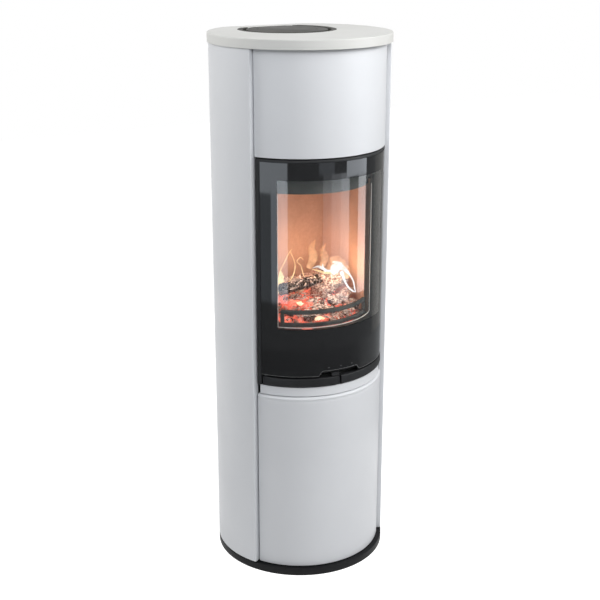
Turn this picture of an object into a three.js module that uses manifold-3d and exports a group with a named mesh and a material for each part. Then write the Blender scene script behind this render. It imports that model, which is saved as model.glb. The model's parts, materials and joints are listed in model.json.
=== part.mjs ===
// Tall round wood stove, clad in painted sheet steel, with a curved glass door, a storage door below it
// and a lift-off cover in the top. Millimetres, +Z up.
// The origin is on the stove's cylinder axis at floor level, and the front faces -Y.
// Plan angles are in degrees from the front centre line, positive towards +X.

import * as THREE from 'three';
import { mergeVertices } from 'three/addons/utils/BufferGeometryUtils.js';
import Module from 'manifold-3d';

const wasm = await Module();
wasm.setup();

// ---- Driving dimensions ----

const facetAngle = 6;
const seat = 0.3; // gap between pieces that touch
const pinPlay = 0.35; // radial play of a pin in its bore

// casing
const casingRadius = 244;
const frontSetback = 13; // doors and upper front panel, inside the casing's radius
const backCut = 33; // flat back, inside the casing's radius
const sheet = 1.5;
const flangeAngle = 60; // front edge of the side panels
const flangeDepth = 16;
const foldRadius = 3;
const backReturn = 25;
const backPanelGap = 1.8;
const sideGap = 5.2; // between a front piece and the side panel's flange
const panelLift = 3; // gap between the base and the panels above it
const panelTopGap = 0.5; // gap between the panels and the top plate's rim
const trayDepth = 14; // folded rim of the upper front panel
const bracketMargin = 60;
const bracketLeg = 8.5;
const bracketInset = 1.8;
const bracketSheet = 2;

// base
const baseHeight = 20;
const baseSkin = 3;
const baseFlange = 39;
const levellingRadius = 5;
const levellingAngles = [-138, -35, 35, 138];
const levellingInset = 28;
const floorClearance = 0.4; // levelling screws at rest, above the floor

// top
const stoveHeight = 1496;
const topThickness = 25;
const topSkin = 4;
const topOverhang = 3.5;
const topBackOverhang = 1.5;
const topEdgeRound = 2.5;
const topFootRadius = 10;
const topFeetAngles = [-120, -75, 75, 120];
const outletMargin = 3.2; // from the round outlet to the flat back
const outletRadius = 134.8;
const ringWidth = 14;
const ringSheet = 2.5;
const coverGap = 9.8;
const coverDrop = 0.5; // ring and cover below the top plate's face
const coverThickness = 5;
const coverHoleRadius = 3;
const coverHoleInset = 31;
const coverTurn = -28.7; // direction of the line through the cover's two holes
const spigotHeight = 14;
const spigotWall = 3;
const spigotPlay = 1;
const innerTopSheet = 2;
const topSupportDrop = 30; // inner top plate's upper face below the stove's top

// heights of the front
const doorBottom = 571;
const doorHeight = 622;
const frontGap = 3.7; // gap above the door
const lowerDoorDrop = 30; // lower door's top below the firebox door
const lipRadius = 7;
const stripDrop = 25;
const stripHeight = 22.5;
const stripSetback = 4.5;

// inner walls
const wallSheet = 2;
const wallFlangeInset = 4.5;
const wallCornerInset = 28;
const wallBackInset = 4.5;
const wallBackReturn = 33;
const wallBendBehind = 61; // from the flat back to the bend
const wallBendInset = 68;
const ledgeFrontSetback = 25;
const ledgeBackSetback = 71;
const ledgeWidth = 30;
const ledgeThickness = 3;

// firebox
const liningInset = 93; // lining's inner face at the front, inside the casing's radius
const liningTaper = 19; // narrowing of each side towards the back
const liningFrontSetback = 100;
const liningBackSetback = 108.5;
const liningThickness = 25;
const liningDrop = 88.3; // linings' upper edge below the firebox roof
const boardGap = 1;
const steel = 4;
const ductSpace = 25; // between the back lining and the shell
const fireboxLift = 51; // firebox floor above the door's lower edge
const fireboxDrop = 9; // firebox roof below the door's upper edge
const skirt = 16;
const ashSpace = 78;
const hearthThickness = 15.7;
const frontPlateLift = 3;
const fireSill = 22; // fire opening's lower edge above the shelf
const fireLintel = 64; // firebox roof above the fire opening
const ashSill = 6;
const boardLedge = 12;

// grate, ash pan, log retainer
const grateHalfWidth = 80;
const grateFront = -60;
const grateBack = 50;
const grateThickness = 12;
const grateBar = 8;
const grateSlot = 7;
const grateRest = 8;
const panSideGap = 46;
const panFrontGap = 48;
const panBackGap = 27.5;
const panTopGap = 16;
const gripHalf = 28;
const gripReach = 14;
const gripDrop = 20;
const gripLip = 7;
const retainerInset = 8;
const retainerThickness = 8;
const retainerBar = 11;
const retainerPitch = 36;
const retainerFoot = 10.2; // lower bar above the foot of the uprights
const retainerUpright = 3.2; // degrees
const retainerMargin = 7; // inside the fire opening, in degrees
const barRound = 1.5;

// baffles and flue
const baffleThickness = 25;
const baffleFront = -60;
const upperBaffleDrop = 34;
const upperBaffleSheet = 3;
const upperBaffleBack = 100;
const deflectorInset = 9.5;
const deflectorSheet = 2;
const deflectorFlange = 16;
const deflectorGap = 0.9; // above the lining
const flueRadius = 75;
const flueWall = 2;
const collarFlange = 15;
const collarHeight = 52;

// firebox door
const doorThickness = 24.7;
const hingeSetback = 6;
const hingeInset = 5; // hinge axis from the door's side edge
const pinRadius = 3;
const pinDepth = 20;
const bossWall = 2.6;
const bracketGap = 0.8; // between the door and its brackets
const bracketThickness = 3.2;
const bracketFoot = 3;
const topFootDrop = 16;
const middleFootRise = 28;
const plateBackSetback = 12;
const plateFrontSetback = 5.8;
const rimWidth = 3;
const stripEdge = 2.91; // visible side strips, in degrees
const windowMargin = 2; // degrees
const windowLift = 154;
const windowDrop = 43;
const glassThickness = 4;
const glassMargin = 0.3; // degrees
const glassLift = 30.5;
const glassDrop = 7;
const glassEdge = 0.8;
const notchHeight = 13.5;
const notchSink = 3; // room for the air lever behind the rails
const notchHalfTop = 53.1;
const notchHalfBottom = 63.7;
const sealSetback = 6.2; // degrees from the door's side edge
const sealThickness = 6;
const sealWidth = 8;
const sealLift = 38.5;
const sealDrop = 17;
const openingMargin = 4.5; // fire opening inside the seal, in degrees

// rails, handle and latch
const railHeight = 24;
const railDepth = 9;
const railRound = 2.5;
const railEndMargin = 0.6; // degrees
const railSlit = 5.6;
const railEndRound = 6;
const bayHeight = 29.5;
const bayDepth = 18;
const handlePinSetback = 6.1; // degrees from the door's side edge
const handlePinDepth = 10;
const bossRadius = 6.5;
const hookLift = 2;
const hookThickness = 4;
const hookReach = 27;
const hookNose = 4.5;
const catchAcross = -6;
const catchPinRadius = 2.6;

// air control
const leverAngle = -3.75; // lever's place at rest
const leverHalfWidth = 2.75; // degrees
const leverTipSetback = 1;
const leverTabDepth = 9;
const leverLift = 27;
const leverHeight = 9;
const leverArmWidth = 12;
const leverArmThickness = 4;
const leverSwing = 17; // half angle of the slots that the lever swings in
const airBoxLift = 19.3;
const airBoxHalf = 75;
const airBoxSheet = 2;
const airBoxLap = 15; // air box over the intake's edge
const valveRadius = 58;
const valveThickness = 3;
const valvePivotRadius = 3.5;
const portRadius = 13;
const portCircle = 36;
const ductHalf = 45;
const ductHeight = 21.7;
const airHoleEdge = 10; // margin of the firebox floor's air hole
const airHoleDepth = 45;
const intakeRadius = 38;
const intakeBehind = 5; // from the air duct to the flat back

// storage compartment
const compartmentDrop = 5;
const compartmentBehind = 83;
const floorFrontInset = 19;
const topSheet = 1.7;
const doorTrayDepth = 17;
const hingePlateThickness = 4;
const hingePlateWidth = 8; // degrees
const magnetLevel = 320;
const magnetHeight = 40;
const magnetPlateHeight = 50;

// back
const rearOutletDrop = 211;
const rearCoverMargin = 7.7;
const rearCoverLap = 10;
const rearCoverThickness = 1.2;
const slotRows = 6;
const slotPitch = 14;
const slotHeight = 6;
const slotMargin = 35.7;
const lowSlots = 150;
const highSlotDrop = 121;
const shieldSetback = 27;
const shieldSideGap = 38;

// ---- Sizes that follow ----

const degrees = THREE.MathUtils.radToDeg;
const radians = THREE.MathUtils.degToRad;
const angleOf = (length, radius) => degrees(length / radius);
const frontRadius = casingRadius - frontSetback;
const backPlane = casingRadius - backCut;
const backHalf = Math.sqrt(casingRadius ** 2 - backPlane ** 2);
const backPanelHalf = backHalf - backReturn - backPanelGap;
const frontAngle = flangeAngle - angleOf(sideGap, frontRadius);

// heights
const panelBottom = baseHeight + panelLift;
const panelTop = stoveHeight - topThickness - panelTopGap;
const innerTopLevel = stoveHeight - topSupportDrop;
const wallTop = innerTopLevel - innerTopSheet - seat;
const doorTop = doorBottom + doorHeight;
const upperFrontBottom = doorTop + frontGap;
const lowerDoorTop = doorBottom - lowerDoorDrop;
const stripBottom = doorBottom - stripDrop;
const compartmentTop = doorBottom - compartmentDrop;
const fireboxBottom = doorBottom + fireboxLift;
const fireboxTop = doorTop - fireboxDrop;
const shelfLevel = fireboxBottom + ashSpace;
const boardBase = shelfLevel + steel + seat;
const hearthTop = boardBase + hearthThickness;
const liningTop = fireboxTop - liningDrop;
const airBoxBottom = doorBottom + airBoxLift;
const valveBottom = airBoxBottom + airBoxSheet + seat;
const armBottom = valveBottom + valveThickness + seat;
const ductTop = airBoxBottom - seat;
const ductBottom = ductTop - ductHeight;
const railTop = doorBottom + railHeight;
const bayTop = doorBottom + bayHeight;
const glassBottom = doorBottom + glassLift;
const glassTop = doorTop - glassDrop;

// firebox and door in plan
const doorBack = frontRadius - doorThickness;
const frontPlateRadius = doorBack - sealThickness - seat;
const shellFront = frontPlateRadius - steel - seat;
const liningFrontHalf = casingRadius - liningInset;
const liningBackHalf = liningFrontHalf - liningTaper;
const liningFrontY = liningFrontSetback - frontPlateRadius;
const liningBackY = backPlane - liningBackSetback;
const shellBack = liningBackY + liningThickness + ductSpace + steel;
const hingeRadius = frontRadius - hingeSetback;
const hingeAngle = frontAngle - angleOf(hingeInset, hingeRadius);
const plateBack = frontRadius - plateBackSetback;
const plateFront = frontRadius - plateFrontSetback;
const stripEdgeAngle = frontAngle - stripEdge;
const glassAngle = stripEdgeAngle - glassMargin;
const sealAngle = frontAngle - sealSetback;
const openingAngle = sealAngle - openingMargin;
const windowAngle = openingAngle - windowMargin;
const retainerAngle = openingAngle - retainerMargin;
const deflectorAngle = openingAngle - 1;
const plateAngle = frontAngle - 0.3;
const railInner = frontRadius - railDepth;
const bayRadius = frontRadius - bayDepth;
const handlePinAngle = handlePinSetback - frontAngle;
const handlePinRadius = frontRadius - handlePinDepth;

// top and back in plan
const outletY = backPlane - outletRadius - outletMargin;
const coverRadius = outletRadius - ringWidth - coverGap;
const spigotRadius = flueRadius - flueWall - spigotPlay;
const wallBendX = casingRadius - wallBendInset;
const intakeY = backPlane - intakeBehind - intakeRadius;
const airBoxBack = intakeY - intakeRadius + airBoxLap;
const compartmentBack = backPlane - compartmentBehind;

// ---- Materials ----

const finish = (color, roughness, metalness) => (
  new THREE.MeshStandardMaterial({ color, roughness, metalness })
);
const whitePaint = finish(0xdadcdf, 0.5, 0.1);
const topPaint = finish(0xe2e3de, 0.5, 0.1);
const blackPaint = finish(0x2c2e30, 0.55, 0.2);
const greyPaint = finish(0x7c7d78, 0.6, 0.2);
const castIron = finish(0x3a3d3c, 0.7, 0.4);
const blackGlass = finish(0x191b1d, 0.08, 0);
const bareSteel = finish(0x9a9da0, 0.45, 0.8);
const lining = finish(0xc9a27a, 0.9, 0);
const sealRope = finish(0xb4b5b1, 0.95, 0);

// ---- Plan geometry ----

const polar = (radius, angle) => (
  new THREE.Vector2(radius * Math.sin(radians(angle)), -radius * Math.cos(radians(angle)))
);
const point = (x, y) => new THREE.Vector2(x, y);

// A point on the ray at a plan angle, at a radius, moved sideways towards larger angles.
function besideRay(angle, radius, across) {
  const out = polar(1, angle);
  return point(out.x * radius - out.y * across, out.y * radius + out.x * across);
}

// Points of an arc about the stove's axis, with its inner facets at whole multiples of the facet angle.
function arc(radius, from, to) {
  const low = Math.min(from, to);
  const high = Math.max(from, to);
  const angles = [low];
  for (let k = Math.floor(low / facetAngle) + 1; k * facetAngle < high - 0.01; k += 1) {
    angles.push(k * facetAngle);
  }
  angles.push(high);
  if (from > to) angles.reverse();
  return angles.map((angle) => polar(radius, angle));
}

const band = (inner, outer, from, to) => [...arc(outer, from, to), ...arc(inner, to, from)];
const mirrored = (points, side) => (side > 0 ? points : points.map((p) => point(-p.x, p.y)).reverse());
const rectangle = (x0, y0, x1, y1) => [point(x0, y0), point(x1, y0), point(x1, y1), point(x0, y1)];

// A disc about the axis, cut straight at the back.
function disc(radius, back) {
  const corner = 180 - degrees(Math.acos(back / radius));
  return arc(radius, -corner, corner);
}

// The outline of a folded sheet, from its centre line and thickness.
function folded(path, thickness) {
  const offset = (side) => path.map((p, i) => {
    const before = i > 0 ? path[i].clone().sub(path[i - 1]).normalize() : null;
    const after = i < path.length - 1 ? path[i + 1].clone().sub(path[i]).normalize() : null;
    const along = before && after ? before.clone().add(after).normalize() : before || after;
    const stretch = before && after ? 1 / along.dot(after) : 1;
    const shift = side * 0.5 * thickness * stretch;
    return point(p.x - along.y * shift, p.y + along.x * shift);
  });
  return [...offset(1), ...offset(-1).reverse()];
}

// A half turn or quarter turn of points about a centre, for rounded corners.
function turn(centre, radius, from, to, steps) {
  return Array.from({ length: steps + 1 }, (_, i) => {
    const angle = radians(from + ((to - from) * i) / steps);
    return point(centre.x + radius * Math.cos(angle), centre.y + radius * Math.sin(angle));
  });
}

// ---- Solids ----

function toSolid(geometry) {
  const bare = new THREE.BufferGeometry();
  bare.setAttribute('position', geometry.getAttribute('position'));
  if (geometry.index) bare.setIndex(geometry.index);
  const merged = mergeVertices(bare, 1e-4);
  const corners = merged.index.array;
  const triangles = [];
  for (let i = 0; i < corners.length; i += 3) {
    const [a, b, c] = [corners[i], corners[i + 1], corners[i + 2]];
    if (a !== b && b !== c && c !== a) triangles.push(a, b, c);
  }
  return new wasm.Manifold(new wasm.Mesh({
    numProp: 3,
    vertProperties: new Float32Array(merged.attributes.position.array),
    triVerts: new Uint32Array(triangles),
  }));
}

function toGeometry(solid) {
  const mesh = solid.getMesh();
  const geometry = new THREE.BufferGeometry();
  geometry.setAttribute('position', new THREE.BufferAttribute(mesh.vertProperties, 3));
  geometry.setIndex(new THREE.BufferAttribute(mesh.triVerts, 1));
  geometry.computeVertexNormals();
  return geometry;
}

const join = (...solids) => solids.reduce((whole, solid) => whole.add(solid));
const cut = (body, ...tools) => tools.reduce((rest, tool) => rest.subtract(tool), body);

// An outline in plan, raised from one level to another.
function prism(outline, low, high) {
  const geometry = new THREE.ExtrudeGeometry(new THREE.Shape(outline), {
    depth: high - low,
    bevelEnabled: false,
  });
  return toSolid(geometry.translate(0, 0, low));
}

// An outline in front view (x, z), pushed back from one depth to another.
function frontPrism(outline, front, back) {
  const geometry = new THREE.ExtrudeGeometry(new THREE.Shape(outline), {
    depth: back - front,
    bevelEnabled: false,
  });
  return toSolid(geometry.rotateX(Math.PI / 2).translate(0, back, 0));
}

const sector = (inner, outer, from, to, low, high) => prism(band(inner, outer, from, to), low, high);
const box = (x0, y0, z0, x1, y1, z1) => prism(rectangle(x0, y0, x1, y1), z0, z1);

// A full ring about the axis from a closed profile of (radius, height) points.
function ring(profile) {
  const closed = [...profile, profile[0]];
  const area = closed.slice(1).reduce((sum, p, i) => sum + closed[i].x * p.y - p.x * closed[i].y, 0);
  if (area < 0) closed.reverse();
  const geometry = new THREE.LatheGeometry(closed, 360 / facetAngle);
  return toSolid(geometry.rotateX(Math.PI / 2));
}

// The part of a ring between two plan angles.
function ringPart(profile, from, to) {
  const reach = 2 * Math.max(...profile.map((p) => p.x));
  const heights = profile.map((p) => p.y);
  const wedge = [point(0, 0), ...arc(reach, from, to)];
  return ring(profile).intersect(prism(wedge, Math.min(...heights) - 1, Math.max(...heights) + 1));
}

function rod(radius, low, high, sides, centre = point(0, 0)) {
  const geometry = new THREE.CylinderGeometry(radius, radius, high - low, sides);
  return toSolid(geometry.rotateX(Math.PI / 2).translate(centre.x, centre.y, (low + high) / 2));
}

function tube(inner, outer, low, high, sides, centre) {
  return cut(rod(outer, low, high, sides, centre), rod(inner, low - 1, high + 1, sides, centre));
}

// A rod along Y, from one depth to another.
function rodAlongY(radius, front, back, sides, x, z) {
  const geometry = new THREE.CylinderGeometry(radius, radius, back - front, sides);
  return toSolid(geometry.translate(x, (front + back) / 2, z));
}

// ---- Assembly ----

const stove = new THREE.Group();
const fixed = new THREE.Group();
const fireboxDoor = new THREE.Group();
const doorHandle = new THREE.Group();
const airControl = new THREE.Group();
const lowerDoor = new THREE.Group();
const topCover = new THREE.Group();
stove.add(fixed, fireboxDoor, doorHandle, airControl, lowerDoor, topCover);

function add(group, name, solid, material) {
  const mesh = new THREE.Mesh(toGeometry(solid), material);
  mesh.name = name;
  group.add(mesh);
  return mesh;
}

const hinge = polar(hingeRadius, hingeAngle);
const handlePin = polar(handlePinRadius, handlePinAngle);
const hingeBore = (low, high) => rod(pinRadius + pinPlay, low, high, 16, hinge);
const sides = [['left', -1], ['right', 1]];

// centre line of the inner walls, in plan
const wallAcross = sheet + seat + wallSheet / 2;
const wallCorner = besideRay(flangeAngle, casingRadius - wallCornerInset, wallAcross);
const wallBend = point(wallBendX, backPlane - wallBendBehind);
const wallLean = (wallBend.x - wallCorner.x) / (wallBend.y - wallCorner.y);
const wallX = (y) => wallCorner.x + (y - wallCorner.y) * wallLean;

// ---- Base ----

function buildBase() {
  const rim = disc(casingRadius, backPlane);
  const hollow = disc(casingRadius - baseSkin, backPlane - baseSkin);
  const mouth = disc(casingRadius - baseFlange, backPlane - baseFlange);
  const places = levellingAngles.map((angle) => polar(casingRadius - levellingInset, angle));
  const holes = places.map((place) => rod(levellingRadius + seat, -1, baseHeight + 1, 12, place));
  const tray = cut(
    prism(rim, 0, baseHeight),
    prism(hollow, baseSkin, baseHeight - baseSkin),
    prism(mouth, baseHeight - baseSkin - 1, baseHeight + 1),
    rod(intakeRadius - flueWall - seat, -1, baseSkin + 1, 24, point(0, intakeY)),
    rod(intakeRadius + 1.5, baseSkin, baseHeight + 1, 24, point(0, intakeY)),
    hingeBore(baseHeight - baseSkin - 1, baseHeight + 1),
    ...holes,
  );
  add(fixed, 'base_plate', tray, blackPaint);
  places.forEach((place, i) => {
    const screw = cut(
      rod(levellingRadius, floorClearance, baseHeight - 1, 12, place),
      rod(levellingRadius / 2, baseHeight - 7, baseHeight, 6, place),
    );
    add(fixed, `levelling_screw_${i + 1}`, screw, bareSteel);
  });
}

// ---- Casing ----

function buildSidePanels() {
  const foldAcross = foldRadius;
  const foldOut = Math.sqrt((casingRadius - foldRadius) ** 2 - foldAcross ** 2);
  const foldTurn = angleOf(foldAcross, casingRadius - foldRadius);
  const bend = (radius) => [180, 150, 120, 90].map((angle) => besideRay(
    flangeAngle,
    foldOut + radius * Math.sin(radians(angle)),
    foldAcross + radius * Math.cos(radians(angle)),
  ));
  const outerCorner = 180 - degrees(Math.acos(backPlane / casingRadius));
  const inner = casingRadius - sheet;
  const innerCorner = 180 - degrees(Math.acos((backPlane - sheet) / inner));
  const returnEnd = backHalf - backReturn;
  const outline = [
    besideRay(flangeAngle, casingRadius - flangeDepth, 0),
    ...bend(foldRadius),
    ...arc(casingRadius, flangeAngle + 2 * foldTurn, outerCorner),
    point(returnEnd, backPlane),
    point(returnEnd, backPlane - sheet),
    ...arc(inner, innerCorner, flangeAngle + 2 * foldTurn),
    ...bend(foldRadius - sheet).reverse(),
    besideRay(flangeAngle, casingRadius - flangeDepth, sheet),
  ];
  for (const [label, side] of sides) {
    add(fixed, `side_panel_${label}`, prism(mirrored(outline, side), panelBottom, panelTop), whitePaint);
  }
}

// A shallow tray with its rim turned inwards, between two plan angles: a folded front panel.
function frontTray(angle, low, high, depth, roundTop) {
  const profile = (radius, bottom, top, round) => [
    point(frontRadius - depth, bottom),
    point(radius, bottom),
    ...(round > 0 ? turn(point(radius - round, top - round), round, 0, 90, 5) : [point(radius, top)]),
    point(frontRadius - depth, top),
  ];
  const rim = angleOf(sheet, frontRadius);
  const outer = ringPart(profile(frontRadius, low, high, roundTop), -angle, angle);
  const pocket = profile(frontRadius - sheet, low + sheet, high - sheet, Math.max(roundTop - sheet, 0));
  const open = pocket.map((p) => (p.x < frontRadius - depth + 0.01 ? point(p.x - 2, p.y) : p));
  return cut(outer, ringPart(open, rim - angle, angle - rim));
}

function buildUpperFront() {
  const panel = frontTray(frontAngle, upperFrontBottom, panelTop, trayDepth, 0);
  add(fixed, 'upper_front_panel', panel, whitePaint);
  // angle pieces that hold the panel's side rims to the inner walls
  const earRadius = frontRadius - trayDepth + 1;
  const path = [
    besideRay(flangeAngle, earRadius + bracketLeg, -sideGap - sheet - bracketInset),
    besideRay(flangeAngle, earRadius - bracketLeg, -sideGap - sheet - bracketInset),
    besideRay(flangeAngle, earRadius - bracketLeg, sheet - seat),
  ];
  const outline = folded(path, bracketSheet);
  const low = upperFrontBottom + bracketMargin;
  for (const [label, side] of sides) {
    const bracket = prism(mirrored(outline, side), low, panelTop - bracketMargin);
    add(fixed, `upper_front_bracket_${label}`, bracket, bareSteel);
  }
}

function slots(level) {
  const half = backPanelHalf - slotMargin;
  const cuts = [];
  for (let row = 0; row < slotRows; row += 1) {
    const z = level + row * slotPitch;
    cuts.push(box(-half, backPlane - 10, z, half, backPlane + 10, z + slotHeight));
  }
  return cuts;
}

function buildBack() {
  const rearCoverRadius = backPanelHalf - rearCoverMargin;
  const rearOutletRadius = rearCoverRadius - rearCoverLap;
  const rearOutletHeight = stoveHeight - rearOutletDrop;
  const panel = cut(
    box(-backPanelHalf, backPlane - sheet, panelBottom, backPanelHalf, backPlane, panelTop),
    rodAlongY(rearOutletRadius, backPlane - 10, backPlane + 10, 32, 0, rearOutletHeight),
    ...slots(lowSlots),
    ...slots(stoveHeight - highSlotDrop),
  );
  add(fixed, 'back_panel', panel, bareSteel);
  const coverFront = backPlane + seat;
  const cover = join(
    rodAlongY(rearCoverRadius, coverFront, coverFront + rearCoverThickness, 32, 0, rearOutletHeight),
    rodAlongY(rearOutletRadius - 1, backPlane - 6, coverFront + 0.5, 32, 0, rearOutletHeight),
  );
  add(fixed, 'rear_outlet_cover', cover, bareSteel);
  const shieldHalf = wallBendX - shieldSideGap;
  const shieldY = backPlane - shieldSetback;
  const shield = box(-shieldHalf, shieldY, airBoxBottom + 5, shieldHalf, shieldY + sheet, fireboxTop + 6);
  add(fixed, 'rear_heat_shield', shield, bareSteel);
}

// Full-height folded walls inside the side panels: they carry the firebox, the doors and the top.
function buildInnerWalls() {
  const backLine = backPlane - sheet - seat - wallSheet / 2;
  const wallBackHalf = backHalf - wallBackInset;
  const path = [
    besideRay(flangeAngle, casingRadius - wallFlangeInset, wallAcross),
    wallCorner,
    wallBend,
    point(wallBackHalf, backLine),
    point(wallBackHalf - wallBackReturn, backLine),
  ];
  // ledges welded to the walls, under the firebox's skirt
  const level = fireboxBottom - skirt - seat;
  const ledgeFront = liningFrontY + ledgeFrontSetback;
  const ledgeBack = backPlane - ledgeBackSetback;
  const strip = (inner, outer) => [
    point(wallX(ledgeFront) - outer, ledgeFront),
    point(wallX(ledgeFront) - inner, ledgeFront),
    point(wallX(ledgeBack) - inner, ledgeBack),
    point(wallX(ledgeBack) - outer, ledgeBack),
  ];
  for (const [label, side] of sides) {
    const wall = join(
      prism(mirrored(folded(path, wallSheet), side), baseHeight + seat, wallTop),
      prism(mirrored(strip(0, wallSheet / 2 + ledgeThickness), side), level - ledgeWidth, level),
      prism(mirrored(strip(0, wallSheet / 2 + ledgeWidth), side), level - ledgeThickness, level),
    );
    add(fixed, `inner_wall_${label}`, wall, bareSteel);
  }
}

// ---- Top ----

function buildTop() {
  const radius = casingRadius + topOverhang;
  const back = backPlane + topBackOverhang;
  const low = stoveHeight - topThickness;
  const outlet = point(0, outletY);
  const rims = [0, 30, 60, 90].map((angle) => {
    const inset = topEdgeRound * (1 - Math.cos(radians(angle)));
    const rise = topEdgeRound * Math.sin(radians(angle));
    return prism(disc(radius - inset, back - inset), low, stoveHeight - topEdgeRound + rise);
  });
  const plate = cut(
    wasm.Manifold.hull(rims),
    prism(disc(radius - topSkin, back - topSkin), low - 1, stoveHeight - topSkin),
    rod(outletRadius, low - 1, stoveHeight + 1, 48, outlet),
  );
  const feet = topFeetAngles.map((angle) => rod(
    topFootRadius,
    innerTopLevel + seat,
    stoveHeight - topSkin + 0.5,
    12,
    polar(radius - 2.5 * topFootRadius, angle),
  ));
  add(fixed, 'top_plate', join(plate, ...feet), topPaint);

  const supportBack = backPlane - sheet - seat - 1;
  const supportRadius = casingRadius - wallFlangeInset;
  const supportCorner = 180 - degrees(Math.acos(supportBack / supportRadius));
  const supportStep = flangeAngle + 1.2;
  const supportOutline = [
    ...arc(supportRadius, -supportCorner, -supportStep),
    ...arc(casingRadius - wallCornerInset - 1, -supportStep, supportStep),
    ...arc(supportRadius, supportStep, supportCorner),
  ];
  const support = cut(
    prism(supportOutline, innerTopLevel - innerTopSheet, innerTopLevel),
    rod(outletRadius - ringWidth - ringSheet, innerTopLevel - 5, innerTopLevel + 5, 48, outlet),
  );
  add(fixed, 'inner_top_plate', support, bareSteel);

  const ringOuter = outletRadius - seat;
  const ringInner = outletRadius - ringWidth;
  const ringTop = stoveHeight - coverDrop;
  const collar = ring([
    point(ringInner, innerTopLevel + seat),
    point(ringInner + ringSheet, innerTopLevel + seat),
    point(ringInner + ringSheet, ringTop - ringSheet),
    point(ringOuter, ringTop - ringSheet),
    point(ringOuter, ringTop),
    point(ringInner, ringTop),
  ]);
  add(fixed, 'top_ring', collar, greyPaint).position.set(0, outletY, 0);

  const coverTop = stoveHeight - coverDrop;
  const coverLow = coverTop - coverThickness;
  const hole = (way) => rod(
    coverHoleRadius,
    coverLow - 1,
    coverTop + 1,
    12,
    point(way * (coverRadius - coverHoleInset), 0),
  );
  const lid = cut(
    join(
      ring([
        point(0.01, coverLow),
        point(coverRadius, coverLow),
        point(coverRadius, coverTop - 1),
        point(coverRadius - 1, coverTop),
        point(0.01, coverTop),
      ]),
      rod(1, coverLow, coverTop, 12),
      tube(spigotRadius - spigotWall, spigotRadius, coverLow - spigotHeight, coverLow + 1, 32),
    ),
    hole(-1),
    hole(1),
  );
  const cover = add(topCover, 'top_cover', lid, greyPaint);
  cover.position.set(0, outletY, 0);
  cover.rotation.z = radians(coverTurn);

  const flueTop = coverLow - seat;
  const collarLow = fireboxTop + steel + seat;
  const collarBore = spigotRadius - flueWall;
  const flueCollar = join(
    tube(collarBore, flueRadius + collarFlange, collarLow, collarLow + steel, 32),
    tube(collarBore, spigotRadius, collarLow, collarLow + collarHeight, 32),
  );
  add(fixed, 'flue_collar', flueCollar, castIron).position.set(0, outletY, 0);
  const pipe = tube(flueRadius - flueWall, flueRadius, collarLow + steel + seat, flueTop, 32);
  add(fixed, 'flue_pipe', pipe, blackPaint).position.set(0, outletY, 0);
}

// ---- Firebox ----

const wallSlope = (liningFrontHalf - liningBackHalf) / (liningFrontY - liningBackY);
const wallStretch = Math.hypot(1, wallSlope);

// Half width of the firebox at a depth, at some distance outside the lining's inner face.
const halfWidth = (y, outside) => (
  liningBackHalf + (y - liningBackY) * wallSlope + outside * wallStretch
);

// Plan angle at which the firebox's side wall meets a circle about the stove's axis, at the front.
function meetAngle(outside, radius) {
  const atAxis = halfWidth(0, outside);
  const a = 1 + wallSlope ** 2;
  const b = atAxis * wallSlope;
  const y = (-b - Math.sqrt(b * b - a * (atAxis ** 2 - radius ** 2))) / a;
  return degrees(Math.atan2(halfWidth(y, outside), -y));
}

// Outline of the firebox at some distance outside the lining, with a curved front.
function fireboxOutline(outside, back, radius) {
  const angle = meetAngle(outside, radius);
  return [
    ...arc(radius, -angle, angle),
    point(halfWidth(back, outside), back),
    point(-halfWidth(back, outside), back),
  ];
}

const straightOutline = (outside, front, back) => [
  point(-halfWidth(front, outside), front),
  point(halfWidth(front, outside), front),
  point(halfWidth(back, outside), back),
  point(-halfWidth(back, outside), back),
];

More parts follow.
